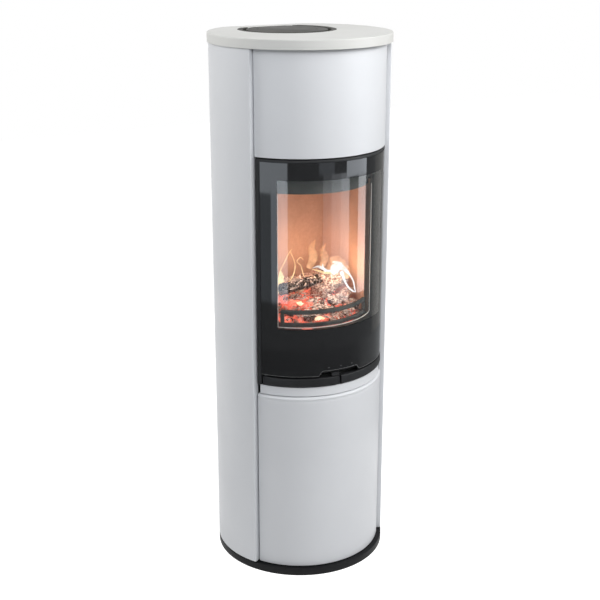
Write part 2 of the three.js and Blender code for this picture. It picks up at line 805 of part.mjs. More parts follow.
function buildFirebox() {
  const steelInside = liningThickness + boardGap;
  const steelOutside = steelInside + steel;
  const low = fireboxBottom - skirt;
  const high = fireboxTop + steel;
  const inside = straightOutline(steelInside, -frontRadius, shellBack - steel);
  const flueHole = rod(flueRadius - 5, fireboxTop - 5, high + 5, 48, point(0, outletY));
  const grateHole = box(grateRest - grateHalfWidth, grateFront + grateRest, shelfLevel - 5,
    grateHalfWidth - grateRest, grateBack - grateRest, boardBase);
  const airHole = box(airHoleEdge - ductHalf, airBoxBack - airHoleEdge - airHoleDepth, fireboxBottom - 5,
    ductHalf - airHoleEdge, airBoxBack - airHoleEdge, fireboxBottom + 10);
  const ledgeFront = liningFrontY + 20;
  const baffleBottom = fireboxTop - upperBaffleDrop;
  const ledge = (side) => prism(mirrored([
    point(halfWidth(ledgeFront, steelInside) - boardLedge, ledgeFront),
    point(halfWidth(ledgeFront, steelInside) + 1, ledgeFront),
    point(halfWidth(upperBaffleBack, steelInside) + 1, upperBaffleBack),
    point(halfWidth(upperBaffleBack, steelInside) - boardLedge, upperBaffleBack),
  ], side), baffleBottom - ledgeThickness - 1, baffleBottom - seat);
  const shelfOutline = fireboxOutline(steelInside + 1, shellBack - 1, shellFront);
  const shell = join(
    cut(
      prism(fireboxOutline(steelOutside, shellBack, shellFront), low, high),
      prism(inside, fireboxBottom + steel, fireboxTop),
      prism(inside, low - 1, fireboxBottom),
      flueHole,
      airHole,
    ),
    cut(prism(shelfOutline, shelfLevel, shelfLevel + steel), grateHole),
    ledge(-1),
    ledge(1),
  );
  add(fixed, 'firebox_shell', shell, blackPaint);

  const frontPlateBottom = doorBottom + frontPlateLift;
  const opening = (from, to, bottom, top) => (
    sector(frontPlateRadius - 3 * steel, frontPlateRadius + 2 * steel, from, to, bottom, top)
  );
  const front = cut(
    sector(frontPlateRadius - steel, frontPlateRadius, -plateAngle, plateAngle, frontPlateBottom, high),
    opening(-openingAngle, openingAngle, shelfLevel + fireSill, fireboxTop - fireLintel),
    opening(-retainerAngle, retainerAngle, fireboxBottom + ashSill, shelfLevel - 3),
    opening(-leverSwing, leverSwing, armBottom - 1, armBottom + leverArmThickness + 1),
    opening(handlePinAngle - 5, handlePinAngle + 5.5, frontPlateBottom - 4, doorBottom + 10),
  );
  add(fixed, 'firebox_front', front, castIron);
}

function buildLining() {
  const backEdge = liningBackY + liningThickness;
  const backBoard = prism([
    point(-halfWidth(liningBackY, -seat), liningBackY),
    point(halfWidth(liningBackY, -seat), liningBackY),
    point(halfWidth(backEdge, -seat), backEdge),
    point(-halfWidth(backEdge, -seat), backEdge),
  ], boardBase, liningTop);
  add(fixed, 'lining_back', backBoard, lining);
  const outerFront = polar(shellFront - seat, meetAngle(liningThickness, shellFront - seat));
  const outline = [
    point(halfWidth(liningFrontY, 0), liningFrontY),
    outerFront,
    point(halfWidth(backEdge, liningThickness), backEdge),
    point(halfWidth(backEdge, 0), backEdge),
  ];
  for (const [label, side] of sides) {
    add(fixed, `lining_${label}`, prism(mirrored(outline, side), boardBase, liningTop), lining);
  }

  const hearth = cut(
    prism(fireboxOutline(-seat, liningBackY - seat, shellFront), boardBase, hearthTop),
    box(-grateHalfWidth, grateFront, boardBase - 1, grateHalfWidth, grateBack, hearthTop + 1),
  );
  add(fixed, 'hearth_plate', hearth, castIron);

  const grateTop = boardBase + grateThickness;
  const pitch = grateBar + grateSlot;
  const span = 2 * (grateHalfWidth - seat) - 2 * grateBar;
  const count = Math.floor((span + grateBar) / pitch);
  const start = -(count * pitch - grateBar) / 2;
  const openings = Array.from({ length: count }, (_, i) => box(
    start + i * pitch,
    grateFront + grateBar,
    boardBase - 1,
    start + i * pitch + grateSlot,
    grateBack - grateBar,
    grateTop + 1,
  ));
  const grate = cut(
    box(seat - grateHalfWidth, grateFront + seat, boardBase, grateHalfWidth - seat, grateBack - seat,
      grateTop),
    ...openings,
  );
  add(fixed, 'grate', grate, castIron);
}

function buildAshPan() {
  const low = fireboxBottom + steel + seat;
  const high = low + ashSpace - panTopGap;
  const half = liningFrontHalf - panSideGap;
  const front = panFrontGap - frontPlateRadius;
  const back = liningBackY - panBackGap;
  const gripTop = high - gripDrop + sheet;
  const gripFront = front - gripReach;
  const pan = join(
    cut(
      box(-half, front, low, half, back, high),
      box(sheet - half, front + sheet, low + sheet, half - sheet, back - sheet, high + 1),
    ),
    // grip folded forward from the front wall
    box(-gripHalf, gripFront, gripTop - sheet, gripHalf, front + sheet, gripTop),
    box(-gripHalf, gripFront, gripTop - sheet - gripLip, gripHalf, gripFront + sheet, gripTop),
  );
  add(fixed, 'ash_pan', pan, bareSteel);
}

function buildRetainer() {
  const outer = frontPlateRadius - retainerInset;
  const inner = outer - retainerThickness;
  const foot = hearthTop + seat;
  const lowBar = foot + retainerFoot;
  const highBar = lowBar + retainerPitch;
  const bar = (low) => ringPart([
    point(inner, low),
    point(outer - barRound, low),
    point(outer, low + barRound),
    point(outer, low + retainerBar - barRound),
    point(outer - barRound, low + retainerBar),
    point(inner, low + retainerBar),
  ], -retainerAngle, retainerAngle);
  const upright = (angle) => sector(
    inner,
    outer - 0.5,
    angle - retainerUpright / 2,
    angle + retainerUpright / 2,
    foot,
    highBar + retainerBar,
  );
  const retainer = join(
    bar(lowBar),
    bar(highBar),
    upright(-retainerAngle),
    upright(retainerAngle),
  );
  add(fixed, 'log_retainer', retainer, castIron);
}

function buildBaffles() {
  const steelInside = liningThickness + boardGap;
  const lowBack = liningBackY + liningThickness;
  const lower = prism(
    straightOutline(steelInside - 1.5, baffleFront, lowBack),
    liningTop + seat,
    liningTop + seat + baffleThickness,
  );
  add(fixed, 'baffle_lower', lower, lining);
  const deflectorRadius = frontPlateRadius - deflectorInset;
  const upperLow = fireboxTop - upperBaffleDrop;
  const upper = prism(
    fireboxOutline(steelInside - 0.5, upperBaffleBack, deflectorRadius - 3 * deflectorSheet),
    upperLow,
    upperLow + upperBaffleSheet,
  );
  add(fixed, 'baffle_upper', upper, castIron);
  const top = fireboxTop - seat;
  const plate = (inner, low) => sector(inner, deflectorRadius, -deflectorAngle, deflectorAngle, low, top);
  const deflector = join(
    plate(deflectorRadius - deflectorSheet, liningTop + deflectorGap),
    plate(deflectorRadius - deflectorFlange, top - deflectorSheet),
  );
  add(fixed, 'air_wash_deflector', deflector, castIron);
}

// ---- Hinges and pins ----

// Plate from the firebox front out to the hinge axis, with a foot on the firebox front.
function hingeBracket(low, high, footLow, footHigh) {
  const reach = pinRadius + 2.5;
  const arm = [
    besideRay(hingeAngle, frontPlateRadius + seat, -6),
    ...[-90, -45, 0, 45, 90].map((angle) => besideRay(
      hingeAngle,
      hingeRadius + reach * Math.cos(radians(angle)),
      reach * Math.sin(radians(angle)),
    )),
    besideRay(hingeAngle, frontPlateRadius + seat, 4),
  ];
  const foot = sector(
    frontPlateRadius + seat,
    frontPlateRadius + seat + bracketFoot,
    hingeAngle - 2.6,
    plateAngle,
    footLow,
    footHigh,
  );
  return cut(join(prism(arm, low, high), foot), hingeBore(low - 1, high + 1));
}

function buildHinges() {
  const topLow = doorTop + bracketGap;
  const topHigh = upperFrontBottom - seat;
  const top = hingeBracket(topLow, topHigh, topLow - topFootDrop, topHigh);
  add(fixed, 'hinge_bracket_top', top, bareSteel);
  const middleHigh = doorBottom - bracketGap;
  const middleLow = middleHigh - bracketThickness;
  const middle = hingeBracket(middleLow, middleHigh, middleLow, middleHigh + middleFootRise);
  add(fixed, 'hinge_bracket_middle', middle, bareSteel);
  const pin = (low, high) => rod(pinRadius, low, high, 16, hinge);
  const lowerPinFoot = lowerDoorTop - lipRadius - hingePlateThickness - 1;
  add(fixed, 'hinge_pin_top', pin(doorTop - pinDepth, topHigh - 0.4), bareSteel);
  add(fixed, 'hinge_pin_middle', pin(lowerPinFoot, doorBottom + pinDepth), bareSteel);
  add(fixed, 'hinge_pin_bottom', pin(baseSkin + seat, panelBottom + hingePlateThickness + 10), bareSteel);
}

// ---- Firebox door ----

// A rectangular ring of one thickness in the door's curved surface.
function curvedFrame(inner, outer, angle, width, low, high) {
  const edge = angleOf(width, inner);
  return cut(
    sector(inner, outer, -angle, angle, low, high),
    sector(inner - 5, outer + 5, edge - angle, angle - edge, low + width, high - width),
  );
}

function buildDoorFrame() {
  const far = frontRadius + 10;
  const behindDoor = doorBack - 9;
  const rim = angleOf(rimWidth, doorBack);
  const glassSeat = frontRadius - glassThickness;
  const hollow = cut(
    sector(behindDoor, plateBack, rim - frontAngle, frontAngle - rim, bayTop + rimWidth, doorTop - rimWidth),
    curvedFrame(doorBack, plateBack + 1, sealAngle, sealWidth, doorBottom + sealLift, doorTop - sealDrop),
  );
  const glassRebate = sector(glassSeat - seat, far, -stripEdgeAngle, stripEdgeAngle, bayTop - 1,
    glassTop + 0.5);
  const plateStep = sector(plateFront, far, -glassAngle + 1.5, glassAngle - 1.5, bayTop - 1, glassTop - 3);
  const window = sector(behindDoor, far, -windowAngle, windowAngle, doorBottom + windowLift,
    doorTop - windowDrop);
  const lug = (low, high) => join(
    rod(bossRadius, low, high, 20, handlePin),
    sector(bayRadius - 1, handlePinRadius, handlePinAngle - 1.6, handlePinAngle + 1.6, low, high),
  );
  const railBay = cut(
    sector(bayRadius, far, -stripEdgeAngle, stripEdgeAngle, doorBottom - 1, bayTop),
    lug(doorBottom - 2, doorBottom + 1.7),
    lug(railTop + 0.6, bayTop + 1),
  );
  const notchRoom = sector(behindDoor, far, -leverSwing - 3, leverSwing + 3, railTop - notchSink,
    doorBottom + sealLift - 0.5);
  const hookRoom = sector(behindDoor, bayRadius + 1, handlePinAngle - 4, handlePinAngle + 4.3,
    doorBottom + 1.7, doorBottom + 7.5);
  const bevel = ringPart([
    point(frontRadius - 3, doorTop + 1),
    point(frontRadius + 1, doorTop - 4),
    point(frontRadius + 4, doorTop + 1),
  ], -frontAngle - 1, frontAngle + 1);
  const boss = (low, high) => rod(pinRadius + bossWall, low, high, 16, hinge);
  const slab = sector(doorBack, frontRadius, -frontAngle, frontAngle, doorBottom, doorTop);
  const frame = cut(
    join(
      cut(slab, hollow, glassRebate, plateStep, window, railBay, notchRoom, hookRoom, bevel),
      boss(bayTop - 4, bayTop + rimWidth).intersect(slab),
      boss(doorTop - pinDepth - 5, doorTop).intersect(slab),
      boss(doorBottom, doorBottom + pinDepth + 5).intersect(slab),
    ),
    hingeBore(doorTop - pinDepth - 2, doorTop + 1),
    hingeBore(doorBottom - 1, doorBottom + pinDepth + 2),
    rod(pinRadius + pinPlay, doorBottom + 0.8, railTop + 4, 16, handlePin),
  );
  add(fireboxDoor, 'door_frame', frame, blackPaint);
}

function buildDoorGlass() {
  const inner = frontRadius - glassThickness;
  const profile = [
    point(inner, glassBottom),
    point(frontRadius - glassEdge, glassBottom),
    point(frontRadius, glassBottom + glassEdge),
    point(frontRadius, glassTop - glassEdge),
    point(frontRadius - glassEdge, glassTop),
    point(inner, glassTop),
  ];
  const notch = frontPrism([
    point(-notchHalfBottom, glassBottom - 0.5),
    point(notchHalfBottom, glassBottom - 0.5),
    point(notchHalfTop, glassBottom + notchHeight),
    point(-notchHalfTop, glassBottom + notchHeight),
  ], -frontRadius - 20, -frontRadius + 60);
  const glass = cut(ringPart(profile, -glassAngle, glassAngle), notch);
  add(fireboxDoor, 'door_glass', glass, blackGlass);
  const seal = curvedFrame(frontPlateRadius + seat, doorBack - seat, sealAngle, sealWidth,
    doorBottom + sealLift, doorTop - sealDrop);
  add(fireboxDoor, 'door_seal', seal, sealRope);
}

// ---- Rails, handle and latch ----

const railProfile = [
  point(railInner, doorBottom),
  ...turn(point(frontRadius - railRound, doorBottom + railRound), railRound, -90, 0, 3),
  ...turn(point(frontRadius - railRound, railTop - railRound), railRound, 0, 90, 3),
  point(railInner, railTop),
];

// Front view of a rail's end, rounded at its corners, cut to length across the front.
function railEnd(x, side) {
  const far = x + side * 400;
  const corners = [
    ...turn(point(x + side * railEndRound, doorBottom + railEndRound), railEndRound, side > 0 ? 180 : 0,
      side > 0 ? 270 : -90, 4),
    point(far, doorBottom - 0.01),
    point(far, railTop + 0.01),
    ...turn(point(x + side * railEndRound, railTop - railEndRound), railEndRound, 90,
      side > 0 ? 180 : 0, 4),
  ];
  return frontPrism(corners, -frontRadius - 20, 0);
}

function buildRails() {
  const slitAngle = angleOf(railSlit / 2, frontRadius);
  const railEndAngle = stripEdgeAngle - railEndMargin;
  const lug = (from, to) => sector(bayRadius + seat, railInner + 1, from, to, doorBottom + 4, railTop - 4);
  const trim = join(
    ringPart(railProfile, slitAngle, railEndAngle),
    lug(12, 16),
    lug(45, 49),
  );
  add(fireboxDoor, 'door_rail', trim, blackPaint);

  const pinHole = rod(pinRadius + pinPlay, doorBottom - 1, railTop + 1, 16, handlePin);
  const hookLow = doorBottom + hookLift;
  const hookTop = hookLow + hookThickness;
  const eyeRoom = rod(bossRadius + 1.5, doorBottom - 1, hookTop + seat, 20, handlePin);
  const handleEnd = railEnd(-railSlit / 2, -1);
  const rail = ringPart(railProfile, -railEndAngle, 0).intersect(handleEnd);
  const cornerCentre = polar(frontRadius - railEndRound, 1.5 - railEndAngle);
  const roundedCorner = cut(
    sector(frontRadius - railEndRound, frontRadius + 3, -railEndAngle - 1, 1.5 - railEndAngle,
      doorBottom - 1, railTop + 1),
    rod(railEndRound, doorBottom - 2, railTop + 2, 20, cornerCentre),
  );
  const boss = rod(bossRadius, hookTop + seat, railTop, 20, handlePin);
  const handle = cut(join(cut(rail, roundedCorner, eyeRoom), boss), pinHole);
  add(doorHandle, 'door_handle', handle, blackPaint);

  const local = (across, out) => besideRay(handlePinAngle, handlePinRadius + out, across);
  const hook = prism([
    local(-1.5, 0),
    local(-1.5, hookNose - hookReach),
    local(catchAcross - 1.5, hookNose - hookReach),
    local(catchAcross - 1.5, -hookReach),
    local(5, -hookReach),
    local(5, 0),
  ], hookLow, hookTop);
  const eye = rod(bossRadius - 0.5, hookLow, hookTop, 20, handlePin);
  add(doorHandle, 'latch_hook', cut(join(hook, eye), pinHole), bareSteel);

  add(fireboxDoor, 'handle_pin', rod(pinRadius, doorBottom + 1, railTop + 3.5, 16, handlePin), bareSteel);

  const catchPlace = besideRay(handlePinAngle, frontPlateRadius + 2, catchAcross);
  const earLow = doorBottom + 10.5;
  const ear = sector(
    frontPlateRadius + seat,
    doorBack - 0.8,
    handlePinAngle - 3.4,
    handlePinAngle + 1,
    earLow,
    earLow + 3,
  );
  const foot = sector(
    frontPlateRadius + seat,
    frontPlateRadius + 2.3,
    handlePinAngle - 3.4,
    handlePinAngle + 1,
    earLow,
    earLow + 18,
  );
  const catchPin = rod(catchPinRadius, doorBottom + 1.5, earLow + 1, 12, catchPlace);
  const behindPlate = sector(0.7 * frontPlateRadius, frontPlateRadius + seat, -frontAngle, -openingAngle,
    earLow - 0.5, earLow + 40);
  const catchPart = cut(join(ear, foot, catchPin), behindPlate);
  add(fixed, 'latch_catch', catchPart, bareSteel);
}

// ---- Air control ----

function buildAir() {
  const floor = airBoxBottom + airBoxSheet;
  const ports = (low, high) => [45, 135, 225, 315].map((angle) => (
    rod(portRadius, low, high, 16, polar(portCircle, angle))
  ));
  const roof = fireboxBottom - seat;
  const slotHalf = 1.5 * airBoxHalf * Math.tan(radians(leverSwing));
  const airBox = cut(
    box(-airBoxHalf, -airBoxHalf, airBoxBottom, airBoxHalf, airBoxBack, roof),
    box(airBoxSheet - airBoxHalf, airBoxSheet - airBoxHalf, floor, airBoxHalf - airBoxSheet,
      airBoxBack - airBoxSheet, roof + 1),
    box(-slotHalf, -airBoxHalf - 5, armBottom - 1, slotHalf, 5 - airBoxHalf,
      armBottom + leverArmThickness + 1),
    ...ports(airBoxBottom - 5, floor + 5),
  );
  add(fixed, 'air_box', airBox, bareSteel);
  const valveTop = valveBottom + valveThickness;
  const pivot = rod(valvePivotRadius, valveBottom, armBottom + leverArmThickness + 2, 12);
  const slide = cut(rod(valveRadius, valveBottom, valveTop, 32), ...ports(valveBottom - 5, valveTop + 5));
  const valve = join(slide, pivot);
  add(airControl, 'air_valve', valve, bareSteel);

  const at = (radius, across) => besideRay(leverAngle, radius, across);
  const half = leverArmWidth / 2;
  const leverTip = frontRadius - leverTipSetback;
  const leverBottom = doorBottom + leverLift;
  const armEnd = leverTip - 0.6 * leverTabDepth;
  const arm = [at(-leverArmWidth, -half), at(armEnd, -half), at(armEnd, half), at(-leverArmWidth, half)];
  const tab = sector(
    leverTip - leverTabDepth,
    leverTip,
    leverAngle - leverHalfWidth,
    leverAngle + leverHalfWidth,
    leverBottom,
    leverBottom + leverHeight,
  );
  const lever = cut(
    join(prism(arm, armBottom, armBottom + leverArmThickness), tab),
    rod(valvePivotRadius + seat, armBottom - 5, armBottom + 10, 12),
  );
  add(airControl, 'air_lever', lever, blackPaint);

  const intake = point(0, intakeY);
  const ductBack = intakeY + intakeRadius;
  const duct = cut(
    box(-ductHalf, -ductHalf - 5, ductBottom, ductHalf, ductBack, ductTop),
    box(sheet - ductHalf, sheet - ductHalf - 5, ductBottom + sheet, ductHalf - sheet, ductBack - sheet,
      ductTop - sheet),
    rod(intakeRadius - flueWall, ductBottom - 5, ductBottom + 5, 24, intake),
    ...ports(ductTop - 5, ductTop + 5),
  );
  add(fixed, 'air_duct', duct, bareSteel);
  const pipe = tube(intakeRadius - flueWall, intakeRadius, baseSkin + seat, ductBottom - seat, 24, intake);
  add(fixed, 'air_intake_pipe', pipe, bareSteel);
}

// ---- Storage compartment and lower door ----

function buildCompartment() {
  const floorLow = baseHeight + seat;
  const sideX = wallBendX - wallSheet / 2 - 2;
  const floorAngle = frontAngle - 2.7;
  const floor = [
    ...arc(frontRadius - floorFrontInset, -floorAngle, floorAngle),
    point(sideX, compartmentBack + sheet),
    point(-sideX, compartmentBack + sheet),
  ];
  add(fixed, 'compartment_floor', prism(floor, floorLow, floorLow + sheet), blackPaint);
  const back = box(-sideX, compartmentBack, floorLow + sheet + seat, sideX, compartmentBack + sheet,
    compartmentTop);
  add(fixed, 'compartment_back', back, bareSteel);
  const frontEdge = frontRadius - stripSetback - sheet - seat;
  const shoulder = 8 * facetAngle;
  const top = [
    ...arc(frontEdge, -shoulder, shoulder),
    ...arc(frontPlateRadius - 6, shoulder, frontAngle - 0.7),
    point(sideX, compartmentBack + sheet),
    point(-sideX, compartmentBack + sheet),
    ...arc(frontPlateRadius - 6, 0.7 - frontAngle, -shoulder),
  ];
  const ceiling = prism(top, compartmentTop + seat, compartmentTop + seat + topSheet);
  add(fixed, 'compartment_top', ceiling, bareSteel);
  const stripOuter = frontRadius - stripSetback;
  const stripAngle = frontAngle - 3.7;
  const strip = sector(stripOuter - sheet, stripOuter, -stripAngle, stripAngle, stripBottom,
    stripBottom + stripHeight);
  add(fixed, 'recess_strip', strip, whitePaint);
}

function buildLowerDoor() {
  const angle = frontAngle - 0.1;
  const pinRoom = (low, high) => rod(pinRadius + 2, low, high, 16, hinge);
  const panel = cut(
    frontTray(angle, panelBottom, lowerDoorTop, doorTrayDepth, lipRadius),
    pinRoom(panelBottom - 1, panelBottom + sheet + 0.5),
    pinRoom(lowerDoorTop - lipRadius - 1, lowerDoorTop + 1),
  );
  add(lowerDoor, 'lower_door_panel', panel, whitePaint);
  const rim = angleOf(sheet, frontRadius) + 0.12;
  const plate = (low) => cut(
    sector(frontRadius - doorTrayDepth, frontRadius - sheet - seat, hingeAngle - hingePlateWidth,
      angle - rim, low, low + hingePlateThickness),
    hingeBore(low - 1, low + hingePlateThickness + 1),
  );
  add(lowerDoor, 'lower_door_hinge_bottom', plate(panelBottom + sheet + seat), bareSteel);
  const topPlateLow = lowerDoorTop - sheet - seat - hingePlateThickness - lipRadius;
  add(lowerDoor, 'lower_door_hinge_top', plate(topPlateLow), bareSteel);
  // magnet on an angle plate that is fixed to the inner wall
  const plateRadius = frontRadius - doorTrayDepth - 3;
  const footX = (y) => wallX(y) - wallSheet / 2 - seat - 1;
  const footFront = wallCorner.y + 5.6;
  const footBack = footFront + 20;
  const path = [
    polar(plateRadius, 8.7 - frontAngle),
    polar(plateRadius, 4.7 - frontAngle),
    polar(plateRadius, 0.7 - frontAngle),
    point(-footX(footFront), footFront),
    point(-footX(footBack), footBack),
  ];
  const raised = (outline, height) => prism(outline, magnetLevel - height / 2, magnetLevel + height / 2);
  const magnet = join(
    raised(band(plateRadius, frontRadius - sheet - 2.9, 4 - frontAngle, 8 - frontAngle), magnetHeight),
    raised(folded(path, 2), magnetPlateHeight),
  );
  add(fixed, 'magnet_catch', magnet, blackPaint);
}

buildBase();
buildSidePanels();
buildUpperFront();
buildBack();
buildInnerWalls();
buildTop();
buildFirebox();
buildLining();
buildAshPan();
buildRetainer();
buildBaffles();
buildHinges();
buildDoorFrame();
buildDoorGlass();
buildRails();
buildAir();
buildCompartment();
buildLowerDoor();

export default stove;
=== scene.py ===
import bpy
import bmesh
import json
import random
from math import acos, asin, atan2, ceil, copysign, cos, degrees, exp, hypot, pi, radians, sin, sqrt, tau
from mathutils import Matrix, Vector, noise
from mathutils.bvhtree import BVHTree


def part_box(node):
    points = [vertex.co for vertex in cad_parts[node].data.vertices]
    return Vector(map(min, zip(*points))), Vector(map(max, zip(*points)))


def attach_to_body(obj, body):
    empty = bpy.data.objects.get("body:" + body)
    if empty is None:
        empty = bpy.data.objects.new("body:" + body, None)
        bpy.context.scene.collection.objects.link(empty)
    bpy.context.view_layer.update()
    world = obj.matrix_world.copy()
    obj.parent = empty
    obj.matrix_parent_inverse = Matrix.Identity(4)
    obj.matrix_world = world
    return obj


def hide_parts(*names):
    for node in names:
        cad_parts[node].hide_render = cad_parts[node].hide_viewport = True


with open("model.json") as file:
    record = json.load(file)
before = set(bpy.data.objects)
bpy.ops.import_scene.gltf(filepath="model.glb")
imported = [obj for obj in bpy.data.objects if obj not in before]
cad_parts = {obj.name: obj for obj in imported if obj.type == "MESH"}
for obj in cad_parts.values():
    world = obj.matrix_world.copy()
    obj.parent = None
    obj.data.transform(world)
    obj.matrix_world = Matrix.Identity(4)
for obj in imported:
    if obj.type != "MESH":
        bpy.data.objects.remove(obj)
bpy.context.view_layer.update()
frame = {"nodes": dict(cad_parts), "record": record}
print("frame loaded, CAD pieces:", len(frame["nodes"]))

mm = 0.001
tiny = 1e-6
stoveBody = "stove_body"


# angles in plan are in degrees from the front centre line, positive towards +X
def planPoint(radius, angle, height=0.0):
    turn = radians(angle)
    return Vector((radius * sin(turn), -radius * cos(turn), height))


# a plan point along the ray at an angle, then across it
def besideRay(angle, radius, across):
    out = planPoint(1, angle)
    return Vector((out.x * radius - out.y * across, out.y * radius + out.x * across, 0))


def steps(start, end, size):
    count = max(1, ceil(abs(end - start) / size - tiny))
    return [start + (end - start) * i / count for i in range(count + 1)]


# a small arc in a profile
def cornerArc(centre, radius, start, end, count):
    turns = [radians(start + (end - start) * i / count) for i in range(count + 1)]
    return [(centre[0] + radius * cos(t), centre[1] + radius * sin(t)) for t in turns]


# faces between two closed rows of points that start at a and b
def ringFaces(a, b, count):
    return [(a + i, a + (i + 1) % count, b + (i + 1) % count, b + i) for i in range(count)]


def gridFaces(rows, wide):
    return [(r * wide + c, r * wide + c + 1, (r + 1) * wide + c + 1, (r + 1) * wide + c)
            for r in range(rows - 1) for c in range(wide - 1)]


# a skin over rings of points, its ends capped or joined to each other
def loft(rings, joined=False):
    count, last = len(rings[0]), len(rings) - 1
    faces = [face for i in range(last) for face in ringFaces(i * count, (i + 1) * count, count)]
    if joined:
        faces += ringFaces(last * count, 0, count)
    else:
        faces += [tuple(range(i * count, (i + 1) * count)) for i in (0, last)]
    return [point for ring in rings for point in ring], faces


def merged(shapes):
    points, faces = [], []
    for more, over in shapes:
        faces += [tuple(len(points) + i for i in face) for face in over]
        points += more
    return points, faces


# a linked object, made from a bmesh or from points and faces
def linkMesh(name, source, material=None):
    mesh = bpy.data.meshes.new(name)
    if isinstance(source, bmesh.types.BMesh):
        source.to_mesh(mesh)
        source.free()
    else:
        mesh.from_pydata([tuple(p) for p in source[0]], [], source[1])
    if material:
        mesh.materials.append(material)
    piece = bpy.data.objects.new(name, mesh)
    bpy.context.scene.collection.objects.link(piece)
    return piece


def modify(piece, kind, **settings):
    change = piece.modifiers.new(kind.lower(), kind)
    for label, value in settings.items():
        setattr(change, label, value)


def shadeSmooth(mesh, sharpAngle=32):
    mesh.shade_smooth()
    mesh.set_sharp_from_angle(angle=radians(sharpAngle))


# the piece rides on a body, and stands for a CAD node if one is named, which is hidden
def attach(piece, body, node=None):
    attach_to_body(piece, body)
    if node:
        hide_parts(node)
    return piece


def addPiece(name, shape, body, material, slot, node=None, sharpAngle=32, bevel=0.0):
    piece = linkMesh(name, shape, material)
    work = bmesh.new()
    work.from_mesh(piece.data)
    bmesh.ops.remove_doubles(work, verts=work.verts, dist=tiny)
    bmesh.ops.recalc_face_normals(work, faces=work.faces)
    work.to_mesh(piece.data)
    work.free()
    shadeSmooth(piece.data, sharpAngle)
    if bevel:
        modify(piece, "BEVEL", width=bevel, segments=2, limit_method="ANGLE", angle_limit=radians(sharpAngle),
               harden_normals=True)
    return attach(piece, body, node)


# a closed profile of (radius, height) points, turned about an upright axis between two angles
def turned(name, profile, body, material, slot, node=None, start=0.0, end=360.0, step=2.5, centre=(0, 0),
           **finish):
    whole = end - start > 359.9
    rings = [[planPoint(radius, angle, height) + Vector((*centre, 0)) for radius, height in profile]
             for angle in steps(start, end, step)]
    return addPiece(name, loft(rings[:-1] if whole else rings, whole), body, material, slot, node, **finish)


# makes the modifiers' result the mesh itself
def settle(piece):
    bpy.context.view_layer.update()
    solid = bpy.data.meshes.new_from_object(piece.evaluated_get(bpy.context.evaluated_depsgraph_get()))
    piece.modifiers.clear()
    piece.data = solid
    shadeSmooth(solid)


# gives a skin its thickness, towards the stove's axis
def thicken(piece, thickness):
    faces = piece.data.polygons
    if sum(f.normal.x * f.center.x + f.normal.y * f.center.y < 0 for f in faces) > len(faces) / 2:
        piece.data.flip_normals()
    modify(piece, "SOLIDIFY", thickness=thickness, offset=-1)
    settle(piece)


# short calls for building one node tree
class Nodes:
    def __init__(self, tree):
        self.tree = tree

    def put(self, socket, value):
        if isinstance(value, bpy.types.NodeSocket):
            self.tree.links.new(value, socket)
        elif isinstance(value, tuple) and len(socket.default_value) == 4:
            socket.default_value = (*value, 1)
        else:
            socket.default_value = value

    def add(self, kind, values=(), **settings):
        node = self.tree.nodes.new("ShaderNode" + kind)
        for label, value in settings.items():
            setattr(node, label, value)
        for label, value in dict(values).items():
            self.put(node.inputs[label], value)
        return node.outputs

    def calc(self, operation, a, b=0.0, clamp=False):
        return self.add("Math", {0: a, 1: b}, operation=operation, use_clamp=clamp)[0]

    def cloud(self, vector, scale, detail=4.0, roughness=0.55, distortion=0.0):
        values = {"Vector": vector, "Scale": scale, "Detail": detail, "Roughness": roughness,
                  "Distortion": distortion}
        return self.add("TexNoise", values)["Fac"]

    def spread(self, value, low, high, fromLow=0.0, fromHigh=1.0):
        values = {"Value": value, "From Min": fromLow, "From Max": fromHigh, "To Min": low, "To Max": high}
        return self.add("MapRange", values)["Result"]

    def mixed(self, mask, first, second):
        return self.add("Mix", {0: mask, 6: first, 7: second}, data_type="RGBA")[2]

    # rays that see the studio's white: those of the camera, of mirrors and of glass
    def whiteRays(self):
        paths = self.add("LightPath")
        seen = self.calc("ADD", paths["Is Camera Ray"], paths["Is Glossy Ray"], True)
        return self.calc("ADD", seen, paths["Is Transmission Ray"], True)


# a node group with a Vector input, numbers with their defaults, and the outputs that build returns
def newGroup(name, numbers, build):
    group = bpy.data.node_groups.new(name, "ShaderNodeTree")
    addSocket = group.interface.new_socket
    addSocket("Vector", in_out="INPUT", socket_type="NodeSocketVector")
    for label, value in numbers.items():
        addSocket(label, in_out="INPUT", socket_type="NodeSocketFloat").default_value = value
    n = Nodes(group)
    made = build(n, group.nodes.new("NodeGroupInput").outputs)
    for label in made:
        addSocket(label, in_out="OUTPUT", socket_type="NodeSocketFloat")
    out = group.nodes.new("NodeGroupOutput").inputs
    for label, value in made.items():
        n.put(out[label], value)
    return group


# fine orange peel of sprayed and baked paint, or the sand grain of a casting
def sprayNodes(n, given):
    fine = n.cloud(given["Vector"], given["Scale"], 2.0)
    coarse = n.cloud(given["Vector"], n.calc("MULTIPLY", given["Scale"], 0.18), 2.0)
    height = n.calc("ADD", n.calc("MULTIPLY", fine, 0.6), n.calc("MULTIPLY", coarse, 0.5))
    return {"Height": height, "Speckle": fine}


# large soft patches, for dust, handling and slight changes of gloss
def patchNodes(n, given):
    cloud = n.cloud(given["Vector"], given["Scale"], 6.0, 0.6)
    return {"Mask": n.spread(cloud, 0.0, 1.0, given["Low"], given["High"])}


# a veil of soot that thickens with height and breaks up in patches
def sootNodes(n, given):
    height = n.add("SeparateXYZ", {0: given["Vector"]})["Z"]
    rise = n.spread(height, 0.0, 1.0, given["Low"], given["High"])
    cloud = n.cloud(given["Vector"], given["Scale"], 5.0, 0.62)
    return {"Mask": n.calc("MULTIPLY", rise, n.calc("MULTIPLY", cloud, 1.7), True)}


emberSettings = {"warp": 0.012, "heatScale": 26.0, "heatLow": 0.7, "heatHigh": 0.15, "plateWidth": 0.35}


